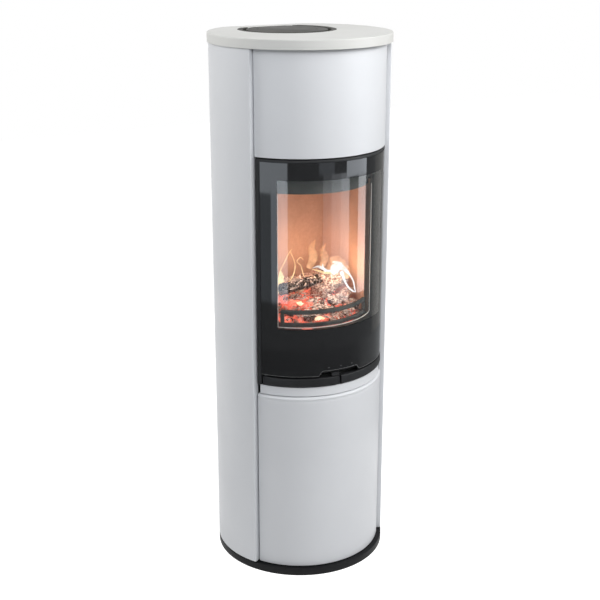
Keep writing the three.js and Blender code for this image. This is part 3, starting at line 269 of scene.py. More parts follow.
# glowing seams between the plates of burnt wood, with an uneven heat
def emberNodes(n, given):
    p = emberSettings
    bend = n.cloud(given["Vector"], n.calc("MULTIPLY", given["Scale"], 0.6), 3.0, 0.6)
    shift = n.add("CombineXYZ", {axis: n.calc("MULTIPLY", bend, p["warp"]) for axis in range(3)})[0]
    warped = n.add("VectorMath", {0: given["Vector"], 1: (1, 1, 1), 2: shift}, operation="MULTIPLY_ADD")[0]
    cells = n.add("TexVoronoi", {"Vector": warped, "Scale": given["Scale"]}, feature="DISTANCE_TO_EDGE")
    distance = cells["Distance"]
    seam = n.spread(distance, 1.0, 0.0, 0.0, given["Width"])
    heat = n.cloud(given["Vector"], p["heatScale"], 3.0, 0.6)
    start = n.calc("SUBTRACT", 1.0, given["Heat"])
    warm = n.spread(heat, 0.0, 1.0, n.calc("MULTIPLY", start, p["heatLow"]),
                    n.calc("ADD", start, p["heatHigh"]))
    return {"Mask": n.calc("MULTIPLY", seam, warm, True), "Lines": seam,
            "Plates": n.spread(distance, 0.0, 1.0, 0.0, p["plateWidth"])}


sprayGrain = newGroup("sprayGrain", {"Scale": 900.0}, sprayNodes)
softPatches = newGroup("softPatches", {"Scale": 6.0, "Low": 0.35, "High": 0.7}, patchNodes)
sootVeil = newGroup("sootVeil", {"Low": 0.9, "High": 1.1, "Scale": 14.0}, sootNodes)
emberSeams = newGroup("emberSeams", {"Scale": 60.0, "Width": 0.12, "Heat": 0.5}, emberNodes)


# a Principled material and its object coordinates
class Finish(Nodes):
    def __init__(self, name, color, roughness, metallic=0.0, specular=0.5):
        self.material = bpy.data.materials.new(name)
        self.material.use_nodes = True
        super().__init__(self.material.node_tree)
        self.shader = self.tree.nodes["Principled BSDF"].inputs
        self.spot = self.add("TexCoord")["Object"]
        self.give({"Base Color": color, "Roughness": roughness, "Metallic": metallic,
                   "Specular IOR Level": specular})

    def give(self, values):
        for label, value in values.items():
            self.put(self.shader[label], value)

    def use(self, group, spot=None, **values):
        return self.add("Group", {"Vector": self.spot if spot is None else spot, **values}, node_tree=group)

    def bump(self, height, strength, distance):
        bumps = self.add("Bump", {"Strength": strength, "Distance": distance, "Height": height})
        self.give({"Normal": bumps["Normal"]})


# a sprayed or cast coat; patches vary its colour and roughness, or the grain's speckle does
def paint(name, color, second, roughness, grainScale, bump, patchScale=5.0, specular=0.5, metallic=0.0,
          speckled=""):
    f = Finish(name, color, roughness[0], metallic, specular)
    grain = f.use(sprayGrain, Scale=grainScale)
    patches = f.use(softPatches, Scale=patchScale)["Mask"]
    tone, gloss = (grain["Speckle"] if speckled == label else patches for label in ("color", "roughness"))
    f.give({"Base Color": f.mixed(tone, color, second), "Roughness": f.spread(gloss, *roughness)})
    f.bump(grain["Height"], *bump)
    return f.material


whitePaint = paint("whitePaint", (0.66, 0.676, 0.706), (0.64, 0.656, 0.686), (0.40, 0.51), 900,
                   (0.35, 0.00006))
# warm white of the top plate; part of its darkening against the sides' white is painted shade, which dims the
# up-facing top that the high lamps light strongly
topPaintWithPaintedShade = paint("topPaintWithPaintedShade", (0.615, 0.619, 0.605), (0.596, 0.6, 0.587), (0.40, 0.51), 900, (0.35, 0.00006))
blackPaint = paint("blackPaint", (0.014, 0.0145, 0.016), (0.02, 0.0205, 0.022), (0.50, 0.61), 1400,
                   (0.35, 0.0001), 9, 0.3)
railPaint = paint("railPaint", (0.013, 0.0135, 0.015), (0.018, 0.0185, 0.02), (0.45, 0.56), 1500,
                  (0.35, 0.00008), 12, 0.25)
basePaint = paint("basePaint", (0.007, 0.0073, 0.0085), (0.01, 0.0103, 0.0115), (0.43, 0.54), 1300,
                  (0.35, 0.00008), 8, 0.15)
greyPaint = paint("greyPaint", (0.02, 0.02, 0.0175), (0.05, 0.05, 0.044), (0.52, 0.68), 650,
                  (0.5, 0.0002), 11, 0.3, speckled="color")
castIron = paint("castIron", (0.05, 0.056, 0.053), (0.09, 0.09, 0.082), (0.62, 0.86), 420,
                 (0.6, 0.0005), 18, 0.4, 0.2, speckled="roughness")


# galvanised sheet: faint crystal fields of two tones
def makeZincSteel():
    f = Finish("zincSteel", (0.36, 0.37, 0.38), 0.45, 1.0)
    cells = f.add("TexVoronoi", {"Vector": f.spot, "Scale": 85})
    tone = f.add("SeparateColor", {0: cells["Color"]})
    f.give({"Base Color": f.mixed(tone[0], (0.33, 0.34, 0.35), (0.42, 0.43, 0.44)),
            "Roughness": f.spread(tone[1], 0.34, 0.5)})
    f.bump(f.use(sprayGrain, Scale=1200)["Height"], 0.25, 0.00008)
    return f.material


# pressed porous board: flakes, pits and soot that thickens upwards
def makeLiningBoard():
    f = Finish("liningBoard", (0.6, 0.4, 0.3), 0.92, 0.0, 0.2)
    flakes = f.add("TexVoronoi", {"Vector": f.spot, "Scale": 260})["Distance"]
    pits = f.cloud(f.spot, 150, 5, 0.6)
    board = f.mixed(pits, (0.50, 0.335, 0.245), (0.72, 0.485, 0.365))
    soot = f.use(sootVeil, Low=0.9, High=1.18, Scale=16)["Mask"]
    f.give({"Base Color": f.mixed(soot, board, (0.30, 0.20, 0.15))})
    f.bump(f.calc("ADD", f.calc("MULTIPLY", pits, 0.8), f.calc("MULTIPLY", flakes, 0.5)), 0.5, 0.0009)
    return f.material


# braided glass-fibre rope or tape; its emission is painted light, a glow that stands in for studio light
# which the pane keeps off
def makeBraid(name, dark, pale, paintedGlow):
    f = Finish(name, pale, 0.95, 0.0, 0.2)
    waves = f.add("TexWave", {"Vector": f.spot, "Scale": 160, "Distortion": 3}, bands_direction="DIAGONAL")
    braid = waves["Fac"]
    f.give({"Base Color": f.mixed(braid, dark, pale), "Emission Color": pale, "Emission Strength": paintedGlow})
    f.bump(braid, 0.7, 0.0006)
    return f.material


def makeClearGlass():
    f = Finish("clearGlass", (0.95, 0.96, 0.955), 0.0)
    smear = f.use(softPatches, Scale=7, Low=0.45, High=0.8)["Mask"]
    f.give({"Transmission Weight": 1.0, "IOR": 1.5, "Roughness": f.spread(smear, 0.0, 0.03)})
    return f.material


# black enamel print that shows through the pane's polished face
def makeGlassPrint():
    f = Finish("glassPrint", (0.012, 0.0125, 0.0135), 0.04)
    speckle = f.use(sprayGrain, Scale=1600)["Speckle"]
    smear = f.use(softPatches, Scale=9, Low=0.4, High=0.8)["Mask"]
    f.give({"Base Color": f.mixed(speckle, (0.0105, 0.011, 0.012), (0.0135, 0.014, 0.015)),
            "Roughness": f.spread(smear, 0.03, 0.09)})
    return f.material


zincSteel = makeZincSteel()
liningBoard = makeLiningBoard()
sealRope = makeBraid("sealRope", (0.035, 0.035, 0.034), (0.075, 0.075, 0.072), 0.0)
# the pale tape's faint emission is painted light
paleTapeWithPaintedGlow = makeBraid("paleTapeWithPaintedGlow", (0.68, 0.67, 0.63), (0.82, 0.81, 0.77), 0.16)
clearGlass = makeClearGlass()
glassPrint = makeGlassPrint()

# burnt wood: plates of char or ash with fine cracks, and heat that glows in some of them
burntFinishes = {
    "charredWood": {"plates": (0.04, 0.033, 0.029), "dust": (0.42, 0.34, 0.29), "cracks": (0.42, 0.36, 0.33),
                    "stretch": (1.6, 1.0, 0.7), "scale": 70, "width": 0.07, "dusting": 0.38, "heat": 0.26,
                    "bloom": 0.0, "glow": (1.0, 0.14, 0.05), "strength": 0.9},
    "ashWood": {"plates": (0.64, 0.52, 0.45), "dust": (0.26, 0.18, 0.15), "cracks": (0.03, 0.02, 0.018),
                "stretch": (0.55, 1.0, 1.5), "scale": 80, "width": 0.09, "dusting": 0.45, "heat": 0.3,
                "bloom": 0.12, "glow": (1.0, 0.13, 0.07), "strength": 0.7},
    "liveCoal": {"plates": (0.07, 0.035, 0.028), "dust": (0.42, 0.30, 0.25), "cracks": (0.03, 0.015, 0.012),
                 "stretch": (1.0, 1.0, 1.0), "scale": 42, "width": 0.08, "dusting": 0.7, "heat": 0.55,
                 "bloom": 0.9, "glow": (1.0, 0.17, 0.105), "strength": 1.08},
    "deadCoal": {"plates": (0.022, 0.018, 0.016), "dust": (0.50, 0.45, 0.41), "cracks": (0.25, 0.2, 0.18),
                 "stretch": (1.0, 1.0, 1.0), "scale": 110, "width": 0.05, "dusting": 0.5, "heat": 0.25,
                 "bloom": 0.1, "glow": (1.0, 0.16, 0.06), "strength": 0.8},
}


def burntWood(name, p):
    f = Finish(name, p["plates"], 0.95, 0.0, 0.1)
    pull = f.add("VectorMath", {0: f.spot, 1: p["stretch"]}, operation="MULTIPLY")[0]
    seams = f.use(emberSeams, pull, Scale=p["scale"], Width=p["width"], Heat=p["heat"])
    dusting = f.cloud(f.spot, 46, 4, 0.6)
    edge = 0.72 - p["dusting"] * 0.4
    surface = f.mixed(f.spread(dusting, 0.0, 1.0, edge, edge + 0.1), p["plates"], p["dust"])
    bloom = f.spread(f.cloud(f.spot, 24, 2, 0.5), 0.0, p["bloom"], 0.44, 0.62)
    heat = f.calc("ADD", seams["Mask"], bloom, True)
    f.give({"Base Color": f.mixed(seams["Lines"], surface, p["cracks"]),
            "Emission Color": f.mixed(heat, (0, 0, 0), p["glow"]), "Emission Strength": p["strength"]})
    f.bump(f.calc("ADD", seams["Plates"], f.calc("MULTIPLY", dusting, 0.6)), 0.9, 0.003)
    return f.material


charredWood, ashWood, liveCoal, deadCoal = (burntWood(name, p) for name, p in burntFinishes.items())


def makeSplinterAsh():
    f = Finish("splinterAsh", (0.72, 0.66, 0.61), 0.9, 0.0, 0.1)
    shade = f.cloud(f.spot, 130, 4, 0.6)
    tone = f.spread(shade, 0.0, 1.0, 0.35, 0.62)
    f.give({"Base Color": f.mixed(tone, (0.20, 0.14, 0.12), (0.86, 0.79, 0.74))})
    f.bump(shade, 0.6, 0.0008)
    return f.material


def makeHotEmber():
    f = Finish("hotEmber", (0.6, 0.4, 0.3), 0.9, 0.0, 0.1)
    heat = f.spread(f.cloud(f.spot, 120, 3, 0.6), 0.0, 1.0, 0.3, 0.7)
    f.give({"Emission Color": f.mixed(heat, (1.0, 0.42, 0.2), (1.0, 0.85, 0.62)), "Emission Strength": 1.25})
    return f.material


splinterAsh = makeSplinterAsh()
hotEmber = makeHotEmber()


# a tongue of flame: thin at its edges, and deeper in colour and thinner from its root to its tip
def flameFinish(name, root, tip, low, high, strength, density):
    f = Finish(name, (0, 0, 0), 1.0, 0.0, 0.0)
    climb = f.spread(f.add("SeparateXYZ", {0: f.spot})["Z"], 0.0, 1.0, low, high)
    facing = f.add("LayerWeight", {"Blend": 0.5})["Facing"]
    core = f.calc("POWER", f.calc("SUBTRACT", 1.0, facing, True), 1.6)
    lick = f.spread(f.cloud(f.spot, 38, 3, 0.55, 0.8), 0.15, 1.0, 0.3, 0.62)
    fade = f.spread(climb, density, density * 0.35)
    f.give({"Emission Color": f.mixed(climb, root, tip), "Emission Strength": strength,
            "Alpha": f.calc("MULTIPLY", f.calc("MULTIPLY", core, lick), fade, True)})
    return f.material


whiteFlame = flameFinish("whiteFlame", (0.93, 0.96, 1.0), (1.0, 0.97, 0.93), 0.77, 0.86, 1.25, 2.6)
yellowFlame = flameFinish("yellowFlame", (1.0, 0.74, 0.40), (1.0, 0.62, 0.32), 0.8, 0.9, 1.3, 1.7)
hazeFlame = flameFinish("hazeFlame", (1.0, 0.60, 0.33), (1.0, 0.50, 0.24), 0.8, 0.92, 2.0, 0.40)
print("materials made")

slotFinish = {
    "white_paint": whitePaint,
    "top_paint": topPaintWithPaintedShade,
    "black_paint": blackPaint,
    "grey_paint": greyPaint,
    "cast_iron": castIron,
    "black_glass": glassPrint,
    "bare_steel": zincSteel,
    "lining": liningBoard,
    "seal_rope": sealRope,
}
ownFinish = {"door_rail": railPaint, "door_handle": railPaint, "base_plate": basePaint,
             "rear_outlet_cover": greyPaint}
cadShading = {"smoothAngle": 28, "weld": 0.01 * mm}

# the CAD pieces with their finish; those that get a finer form are replaced below
for part in frame["record"]["subparts"]:
    thing = frame["nodes"][part["node"]]
    thing.data.materials.clear()
    thing.data.materials.append(ownFinish.get(part["node"], slotFinish[part["material_slot"]]))
    modify(thing, "WELD", merge_threshold=cadShading["weld"])
    thing.data.shade_smooth()
    modify(thing, "EDGE_SPLIT", split_angle=radians(cadShading["smoothAngle"]))

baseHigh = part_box("base_plate")[1]
casingRadius, backPlane = baseHigh.x, baseHigh.y
frontRadius = -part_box("upper_front_panel")[0].y
backHalf = sqrt(casingRadius ** 2 - backPlane ** 2)

sidePanel = {"sheet": 1.5 * mm, "flangeAngle": 60.0, "flangeDepth": {"Left": 22.5 * mm, "Right": 16 * mm},
             "fold": 3 * mm, "backReturn": 25 * mm, "backGap": 0.4, "softEdge": 0.35 * mm}


def makeSidePanels():
    p = sidePanel
    low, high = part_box("side_panel_left")
    fold, flange = p["fold"], p["flangeAngle"]
    foldOut = sqrt((casingRadius - fold) ** 2 - fold ** 2)
    foldTurn = degrees(fold / (casingRadius - fold))
    corner = 180 - degrees(acos(backPlane / casingRadius))

    # the flange, its fold, the round side and the return behind, each moved in by an inset
    def chain(inset, flangeDepth):
        bend = [besideRay(flange, foldOut + (fold - inset) * sin(t), fold + (fold - inset) * cos(t))
                for t in map(radians, steps(180, 90, 12))]
        arc = [planPoint(casingRadius - inset, a)
               for a in steps(flange + 2 * foldTurn, corner - p["backGap"], 2)]
        side = sqrt((casingRadius - inset) ** 2 - (backPlane - inset) ** 2)
        back = [Vector((x, backPlane - inset, 0)) for x in (side, backHalf - p["backReturn"])]
        return [besideRay(flange, casingRadius - flangeDepth, inset), *bend, *arc, *back]

    for label, sign in (("Left", -1), ("Right", 1)):
        depth = p["flangeDepth"][label]
        outer = chain(0, depth)
        loop = [*outer, *reversed(chain(p["sheet"], depth))]
        size = len(loop)
        faces = ringFaces(0, size, size)
        for level in (0, size):
            faces += [(level + i, level + i + 1, level + size - 2 - i, level + size - 1 - i)
                      for i in range(len(outer) - 1)]
        shape = [(sign * q.x, q.y, z) for z in (low.z, high.z) for q in loop], faces
        addPiece("sidePanel" + label, shape, stoveBody, whitePaint, "white_paint",
                 "side_panel_" + label.lower(), bevel=p["softEdge"])


frontPanels = {
    "upperPanel": {"node": "upper_front_panel", "body": stoveBody, "right": 58.71, "left": 59.4,
                   "depth": 14 * mm, "topRound": 0, "lip": 0, "lipRows": ()},
    "storageDoor": {"node": "lower_door_panel", "body": "lower_door", "right": 58.61, "left": 58.8,
                    "depth": 17 * mm, "topRound": 7 * mm, "lip": 1.1 * mm,
                    "lipRows": (24, 20, 17.5, 15, 13.5, 12, 10.5, 9, 8)},
}
frontSheet = {"sheet": 1.5 * mm, "edge": 1.4 * mm, "near": 0.1 * mm, "nearAngle": 0.01}
rolledLip = {"crest": 5.5 * mm, "hollow": 12 * mm, "share": 0.6, "soft": 3 * mm, "reach": 8 * mm}


# a curved tray of folded sheet, open at the back, with rounded outer edges and a rolled lip if it has one
def makeFrontPanel(name, p):
    q = frontSheet
    low, high = (corner.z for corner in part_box(p["node"]))
    columns = steps(-p["left"], p["right"], 2.0)
    rows = [low, *(high - drop * mm for drop in p["lipRows"]), high]
    wide, tall = len(columns), len(rows)
    points = [planPoint(frontRadius, a, z) for z in rows for a in columns]
    top, rim = (tall - 1) * wide, tall * wide
    around = [*range(wide), *(r * wide + wide - 1 for r in range(1, tall - 1)),
              *range(top + wide - 1, top - 1, -1), *(r * wide for r in range(tall - 2, 0, -1))]
    points += [planPoint(frontRadius - p["depth"], columns[i % wide], points[i].z) for i in around]
    faces = gridFaces(tall, wide)
    for i, (a, b) in enumerate(zip(around, around[1:] + around[:1])):
        faces.append((a, rim + i, rim + (i + 1) % len(around), b))
    tray = addPiece(name, (points, faces), p["body"], whitePaint, "white_paint", p["node"], sharpAngle=40)
    mesh = tray.data
    width = max(q["edge"], p["topRound"])
    weight = mesh.attributes.new("bevel_weight_edge", "FLOAT", "EDGE")

    def onSide(co):
        angle = degrees(atan2(co.x, -co.y))
        return angle < q["nearAngle"] - p["left"] or angle > p["right"] - q["nearAngle"]

    for edge in mesh.edges:
        a, b = (mesh.vertices[v].co for v in edge.vertices)
        onFace = min(hypot(a.x, a.y), hypot(b.x, b.y)) > frontRadius - q["near"]
        onTop = min(a.z, b.z) > high - q["near"]
        upright = abs(a.z - b.z) > q["near"]
        if onFace and (onTop or max(a.z, b.z) < low + q["near"] or upright and onSide(a) and onSide(b)):
            weight.data[edge.index].value = 1.0 if onTop and p["topRound"] else q["edge"] / width
    modify(tray, "BEVEL", width=width, segments=5, limit_method="WEIGHT")
    thicken(tray, q["sheet"])
    q = rolledLip
    for v in tray.data.vertices:
        radius = hypot(v.co.x, v.co.y)
        if p["lip"] and radius > frontRadius - q["reach"]:
            crest, hollow = (exp(-((high - v.co.z - q[label]) / q["soft"]) ** 2)
                             for label in ("crest", "hollow"))
            v.co.xy = v.co.xy * (1 + p["lip"] * (crest - q["share"] * hollow) / radius)


recessStrip = {"from": -57.3, "to": 56.4, "sheet": 1.5 * mm, "reach": 2.6 * mm, "foot": 0.5 * mm,
               "softEdge": 0.3 * mm}


def makeRecessStrip():
    p = recessStrip
    low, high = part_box("recess_strip")
    radius, bottom, foot = -low.y, low.z - p["reach"], p["foot"]
    # the foot curls out over the door's lip
    curve = cornerArc((radius + foot, bottom + foot), foot, 270, 180, 4)
    profile = [(radius - p["sheet"], bottom), *curve, (radius, high.z), (radius - p["sheet"], high.z)]
    turned("recessStrip", profile, stoveBody, whitePaint, "white_paint", "recess_strip", p["from"], p["to"],
           bevel=p["softEdge"])


makeSidePanels()
for name, settings in frontPanels.items():
    makeFrontPanel(name, settings)
makeRecessStrip()
print("casing made")

backScrews = {"across": 87 * mm, "heights": (0.05, 0.28, 0.51, 0.74, 0.97, 1.2, 1.43), "head": 3.6 * mm,
              "socket": 1.7 * mm, "proud": 1.3 * mm, "sides": 24}


def makeBackScrews():
    p = backScrews
    head, socket, proud = p["head"], p["socket"], p["proud"]
    # radius, distance behind the panel, and whether the ring is drawn to six sides
    levels = [(head, -0.2 * mm, 0), (head, 0.4 * mm, 0), (head * 0.86, proud * 0.85, 0),
              (head * 0.62, proud, 0), (socket, proud, 1), (socket * 0.95, 0.3 * mm, 1),
              (socket * 0.2, 0.2 * mm, 0)]

    def ring(x, z, radius, out, hexed):
        points = []
        for turn in (tau * i / p["sides"] for i in range(p["sides"])):
            size = radius * (cos(pi / 6) / cos((turn + pi / 6) % (pi / 3) - pi / 6) if hexed else 1)
            points.append((x + size * cos(turn), backPlane + out, z + size * sin(turn)))
        return points

    screws = [loft([ring(x, z, *level) for level in levels]) for x in (-p["across"], p["across"])
              for z in p["heights"]]
    addPiece("backScrews", merged(screws), stoveBody, zincSteel, "bare_steel", sharpAngle=35)


# outlines about the axis, cut straight at the back, one for each (inset, height)
def cutRings(radius, back, levels, count=160):
    rings = []
    for inset, z in levels:
        corner = 180 - degrees(acos((back - inset) / (radius - inset)))
        rings.append([planPoint(radius - inset, a, z) for a in steps(-corner, corner, 2 * corner / count)])
    return rings


topPlate = {"skin": 4 * mm, "edge": 2.5 * mm, "rim": 25 * mm, "outletRadius": 134.8 * mm, "outletY": 73 * mm,
            "chamfer": 0.6 * mm, "lowChamfer": 0.4 * mm}
outletCentre = (0, topPlate["outletY"])


def makeTopPlate():
    p = topPlate
    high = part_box("top_plate")[1]
    top, low = high.z, high.z - p["rim"]
    edge, skin, chamfer, lowChamfer = p["edge"], p["skin"], p["chamfer"], p["lowChamfer"]
    levels = [(skin, top - skin), (skin, low), (lowChamfer, low), (0, low + lowChamfer)]
    levels += [(edge - x, top - edge + z) for x, z in cornerArc((0, 0), edge, 0, 90, 6)]
    rings = cutRings(high.x, high.y, levels)
    turns = [degrees(atan2(q.x, p["outletY"] - q.y)) for q in rings[-1]]
    for grow, z in ((chamfer, top), (0, top - chamfer), (0, top - skin)):
        rings.append([planPoint(p["outletRadius"] + grow, a, z) + Vector((*outletCentre, 0)) for a in turns])
    addPiece("topPlate", loft(rings, True), stoveBody, topPaintWithPaintedShade, "top_paint", "top_plate", sharpAngle=30)


topRing = {"width": 14 * mm, "sheet": 2.5 * mm, "gap": 0.3 * mm, "depth": 40 * mm, "edge": 0.8 * mm,
           "innerEdge": 1.5 * mm}


def makeTopRing():
    p = topRing
    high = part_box("top_ring")[1].z
    low = high - p["depth"]
    inner, outer = topPlate["outletRadius"] - p["width"], topPlate["outletRadius"] - p["gap"]
    sheet, edge, innerEdge = p["sheet"], p["edge"], p["innerEdge"]
    profile = [(inner, low), (inner + sheet, low), (inner + sheet, high - sheet), (outer, high - sheet),
               *cornerArc((outer - edge, high - edge), edge, 0, 90, 3),
               *cornerArc((inner + innerEdge, high - innerEdge), innerEdge, 90, 180, 4)]
    turned("topRing", profile, stoveBody, greyPaint, "grey_paint", "top_ring", centre=outletCentre)


topCover = {"radius": 111 * mm, "thickness": 5 * mm, "edge": 1.2 * mm, "lowEdge": 0.6 * mm, "axis": 0.02 * mm,
            "hole": 4 * mm, "holeOffset": 80 * mm, "turn": -28.7, "spigotInner": 69 * mm,
            "spigotOuter": 72 * mm}


def makeTopCover():
    p = topCover
    spigotLow, high = (corner.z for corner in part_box("top_cover"))
    low, radius, edge, lowEdge = high - p["thickness"], p["radius"], p["edge"], p["lowEdge"]
    profile = [(radius, low + lowEdge), *cornerArc((radius - edge, high - edge), edge, 0, 90, 4),
               (p["axis"], high), (p["axis"], low), (p["spigotInner"], low), (p["spigotInner"], spigotLow),
               (p["spigotOuter"], spigotLow), (p["spigotOuter"], low), (radius - lowEdge, low)]
    cover = turned("topCover", profile, "top_cover", greyPaint, "grey_paint", "top_cover",
                   centre=outletCentre)
    work = bmesh.new()
    turn = radians(p["turn"])
    for across in (-p["holeOffset"], p["holeOffset"]):
        made = bmesh.ops.create_cone(work, cap_ends=True, segments=24, radius1=p["hole"], radius2=p["hole"],
                                     depth=3 * p["thickness"])
        spot = Vector((across * cos(turn), topPlate["outletY"] + across * sin(turn), (low + high) / 2))
        bmesh.ops.translate(work, verts=made["verts"], vec=spot)
    drill = linkMesh("coverDrill", work)
    modify(cover, "BOOLEAN", object=drill)
    settle(cover)
    bpy.data.objects.remove(drill)


basePlate = {"skin": 3 * mm, "flange": 39 * mm, "edge": 0.5 * mm, "soft": 0.15 * mm}


def makeBasePlate():
    p = basePlate
    high, edge, skin, flange, soft = baseHigh.z, p["edge"], p["skin"], p["flange"], p["soft"]
    levels = [(skin, skin), (skin, high - skin), (flange, high - skin), (flange, high), (edge, high),
              (soft, high - soft), (0, high - edge), (0, edge), (edge, 0)]
    addPiece("basePlate", loft(cutRings(casingRadius, backPlane, levels)), stoveBody, basePaint,
             "black_paint", "base_plate", sharpAngle=30)


makeBackScrews()
makeTopPlate()
makeTopRing()
makeTopCover()
makeBasePlate()
print("top and base made")

doorGlass = {
    "radius": 231 * mm, "thickness": 4 * mm, "angle": 55.5, "low": 601.5 * mm, "high": 1186 * mm,
    "notchTop": 615 * mm, "notchHalfTop": 53.1 * mm, "notchHalfLow": 63.7 * mm,
    "windowAngle": 43.8, "windowLow": 736 * mm, "windowHigh": 1140 * mm, "step": 1.5,
}


# the clear window of the pane or its printed border, with the notch in the lower edge
def makePanePart(name, material, isWindow, node=None):
    p = doorGlass
    topTurn, lowTurn = (degrees(asin(p[label] / p["radius"])) for label in ("notchHalfTop", "notchHalfLow"))
    half = [topTurn, lowTurn + p["step"], p["windowAngle"], p["angle"]]
    marks = [-a for a in reversed(half)] + half
    columns = marks[:1]
    for a, b in zip(marks, marks[1:]):
        columns += steps(a, b, p["step"])[1:]
    rows = [p["low"], p["notchTop"], p["windowLow"], p["windowHigh"], p["high"]]

    def turnAt(a, z):
        atNotch = z < p["notchTop"] - tiny and abs(abs(a) - topTurn) < tiny
        return copysign(lowTurn, a) if atNotch else a

    def wanted(face):
        r, c = divmod(face[0], len(columns))
        height, middle = (rows[r] + rows[r + 1]) / 2, abs(columns[c] + columns[c + 1]) / 2
        inWindow = middle < p["windowAngle"] and p["windowLow"] < height < p["windowHigh"]
        return inWindow == isWindow and not (height < p["notchTop"] and middle < topTurn)

    points = [planPoint(p["radius"], turnAt(a, z), z) for z in rows for a in columns]
    faces = [face for face in gridFaces(len(rows), len(columns)) if wanted(face)]
    pane = addPiece(name, (points, faces), "firebox_door", material, "black_glass", node, sharpAngle=40)
    thicken(pane, p["thickness"])


# three short printed ticks above the notch
paneMarks = {"angles": (-9, 0, 9), "height": 624 * mm, "width": 5 * mm, "line": 0.9 * mm, "ink": 0.03 * mm}


def makePaneMarks():
    p = paneMarks
    inkGrey = paint("markInk", (0.12, 0.12, 0.12), (0.17, 0.17, 0.17), (0.55, 0.66), 1500, (0.35, 0.00002))
    radius = doorGlass["radius"] + p["ink"]
    half = degrees(p["width"] / 2 / radius)
    ticks = []
    for mark in p["angles"]:
        turns = steps(mark - half, mark + half, half / 2)
        ticks.append(([planPoint(radius, a, p["height"] + up) for a in turns for up in (0, p["line"])],
                      gridFaces(len(turns), 2)))
    thicken(addPiece("paneMarks", merged(ticks), "firebox_door", inkGrey, "black_glass"), p["ink"])


# a pale grey strip along the pane's lower edge: a painted highlight that stands in for light caught by the
# polished edge
paneEdge = {"wide": 1.1 * mm, "proud": 0.12 * mm, "soft": 0.15 * mm, "sunk": 0.2 * mm, "step": 4 * mm,
            "endGap": 0.3}


def makePaneEdgeHighlight():
    p, q = doorGlass, paneEdge
    radius = p["radius"]
    # the strip's pale grey is painted highlight
    edgeHighlightGrey = paint("edgeHighlightGrey", (0.14, 0.145, 0.145), (0.18, 0.185, 0.185), (0.25, 0.36), 1500,
                     (0.35, 0.00002))
    lowHalf, topHalf = (radius * asin(p[label] / radius) for label in ("notchHalfLow", "notchHalfTop"))
    end = radius * radians(p["angle"] - q["endGap"])
    corners = [Vector(c) for c in ((-end, p["low"]), (-lowHalf, p["low"]), (-topHalf, p["notchTop"]),
                                   (topHalf, p["notchTop"]), (lowHalf, p["low"]), (end, p["low"]))]
    path = corners[:1]
    for a, b in zip(corners, corners[1:]):
        path += [a.lerp(b, t) for t in steps(0, 1, q["step"] / (b - a).length)[1:]]
    section = ((0, -q["sunk"]), (q["soft"], q["proud"]), (q["wide"] - q["soft"], q["proud"]),
               (q["wide"], -q["sunk"]))
    ways = [(b - a).normalized() for a, b in zip(path, path[1:])]
    rings = []
    for spot, before, after in zip(path, ways[:1] + ways, ways + ways[-1:]):
        along = (before + after).normalized()
        up = Vector((-along.y, along.x)) / max(0.5, along.dot(before))
        rings.append([planPoint(radius + out, degrees((spot + up * rise).x / radius), (spot + up * rise).y)
                      for rise, out in section])
    addPiece("paneEdge", loft(rings), "firebox_door", edgeHighlightGrey, "black_glass", sharpAngle=30)


makePanePart("doorWindow", clearGlass, True)
makePanePart("doorGlassBorder", glassPrint, False, "door_glass")
makePaneMarks()
makePaneEdgeHighlight()
print("door made")

logRetainer = {"from": -43.2, "to": 40.2, "deep": 8 * mm, "bar": 11 * mm, "pitch": 36 * mm,
               "foot": 10.2 * mm, "round": 2.4 * mm, "upright": 3.0, "corner": 1.2 * mm, "postDrop": 1 * mm,
               "postEdge": 0.8 * mm}


def makeLogRetainer():
    p = logRetainer
    low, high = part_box("log_retainer")
    outer, inner = -low.y, -low.y - p["deep"]
    crown, corner = p["round"], p["corner"]

    def section(bottom, top):
        return [*cornerArc((inner + corner, bottom + corner), corner, 180, 270, 3),
                *cornerArc((outer - corner, bottom + corner), corner, 270, 360, 3),
                *cornerArc((outer - crown, top - crown), crown, 0, 90, 5),
                *cornerArc((inner + corner, top - corner), corner, 90, 180, 3)]

    bottom, half = low.z + p["foot"], p["upright"] / 2
    for name, level, node in (("logRetainerLowBar", bottom, None),
                              ("logRetainer", bottom + p["pitch"], "log_retainer")):
        turned(name, section(level, level + p["bar"]), stoveBody, castIron, "cast_iron", node, p["from"],
               p["to"], step=1.5)
    for name, angle in (("logRetainerLeftPost", p["from"]), ("logRetainerRightPost", p["to"])):
        turned(name, section(low.z, high.z - p["postDrop"]), stoveBody, castIron, "cast_iron", None,
               angle - half, angle + half, step=0.5, bevel=p["postEdge"])


# rippled weld between the front plate's edge and the firebox side
weldSeam = {"x": 172.8 * mm, "y": -101.2 * mm, "radius": 4.0 * mm, "low": 0.585, "high": 1.186,
            "ripple": 0.25 * mm, "pitch": 3.5 * mm, "sides": 14}


def makeWeldSeams():
    p = weldSeam
    turns = [tau * i / p["sides"] for i in range(p["sides"])]
    for label, sign in (("Left", -1), ("Right", 1)):
        rings = []
        for z in steps(p["low"], p["high"], p["pitch"] / 4):
            size = p["radius"] + p["ripple"] * sin(tau * z / p["pitch"])
            rings.append([(sign * (p["x"] + size * cos(t)), p["y"] + size * sin(t), z) for t in turns])
        addPiece("weldSeam" + label, loft(rings), stoveBody, castIron, "cast_iron", sharpAngle=70)


# flat pale tape round the fire opening, on the face of the front plate; its faint glow is painted light
openingTape = {"radius": 200 * mm, "thick": 1.2 * mm, "angle": 46.6, "wide": 3.6 * mm, "low": 733 * mm,
               "high": 1097 * mm, "sunk": 0.1 * mm, "soft": 0.3 * mm, "lowShare": 0.6}


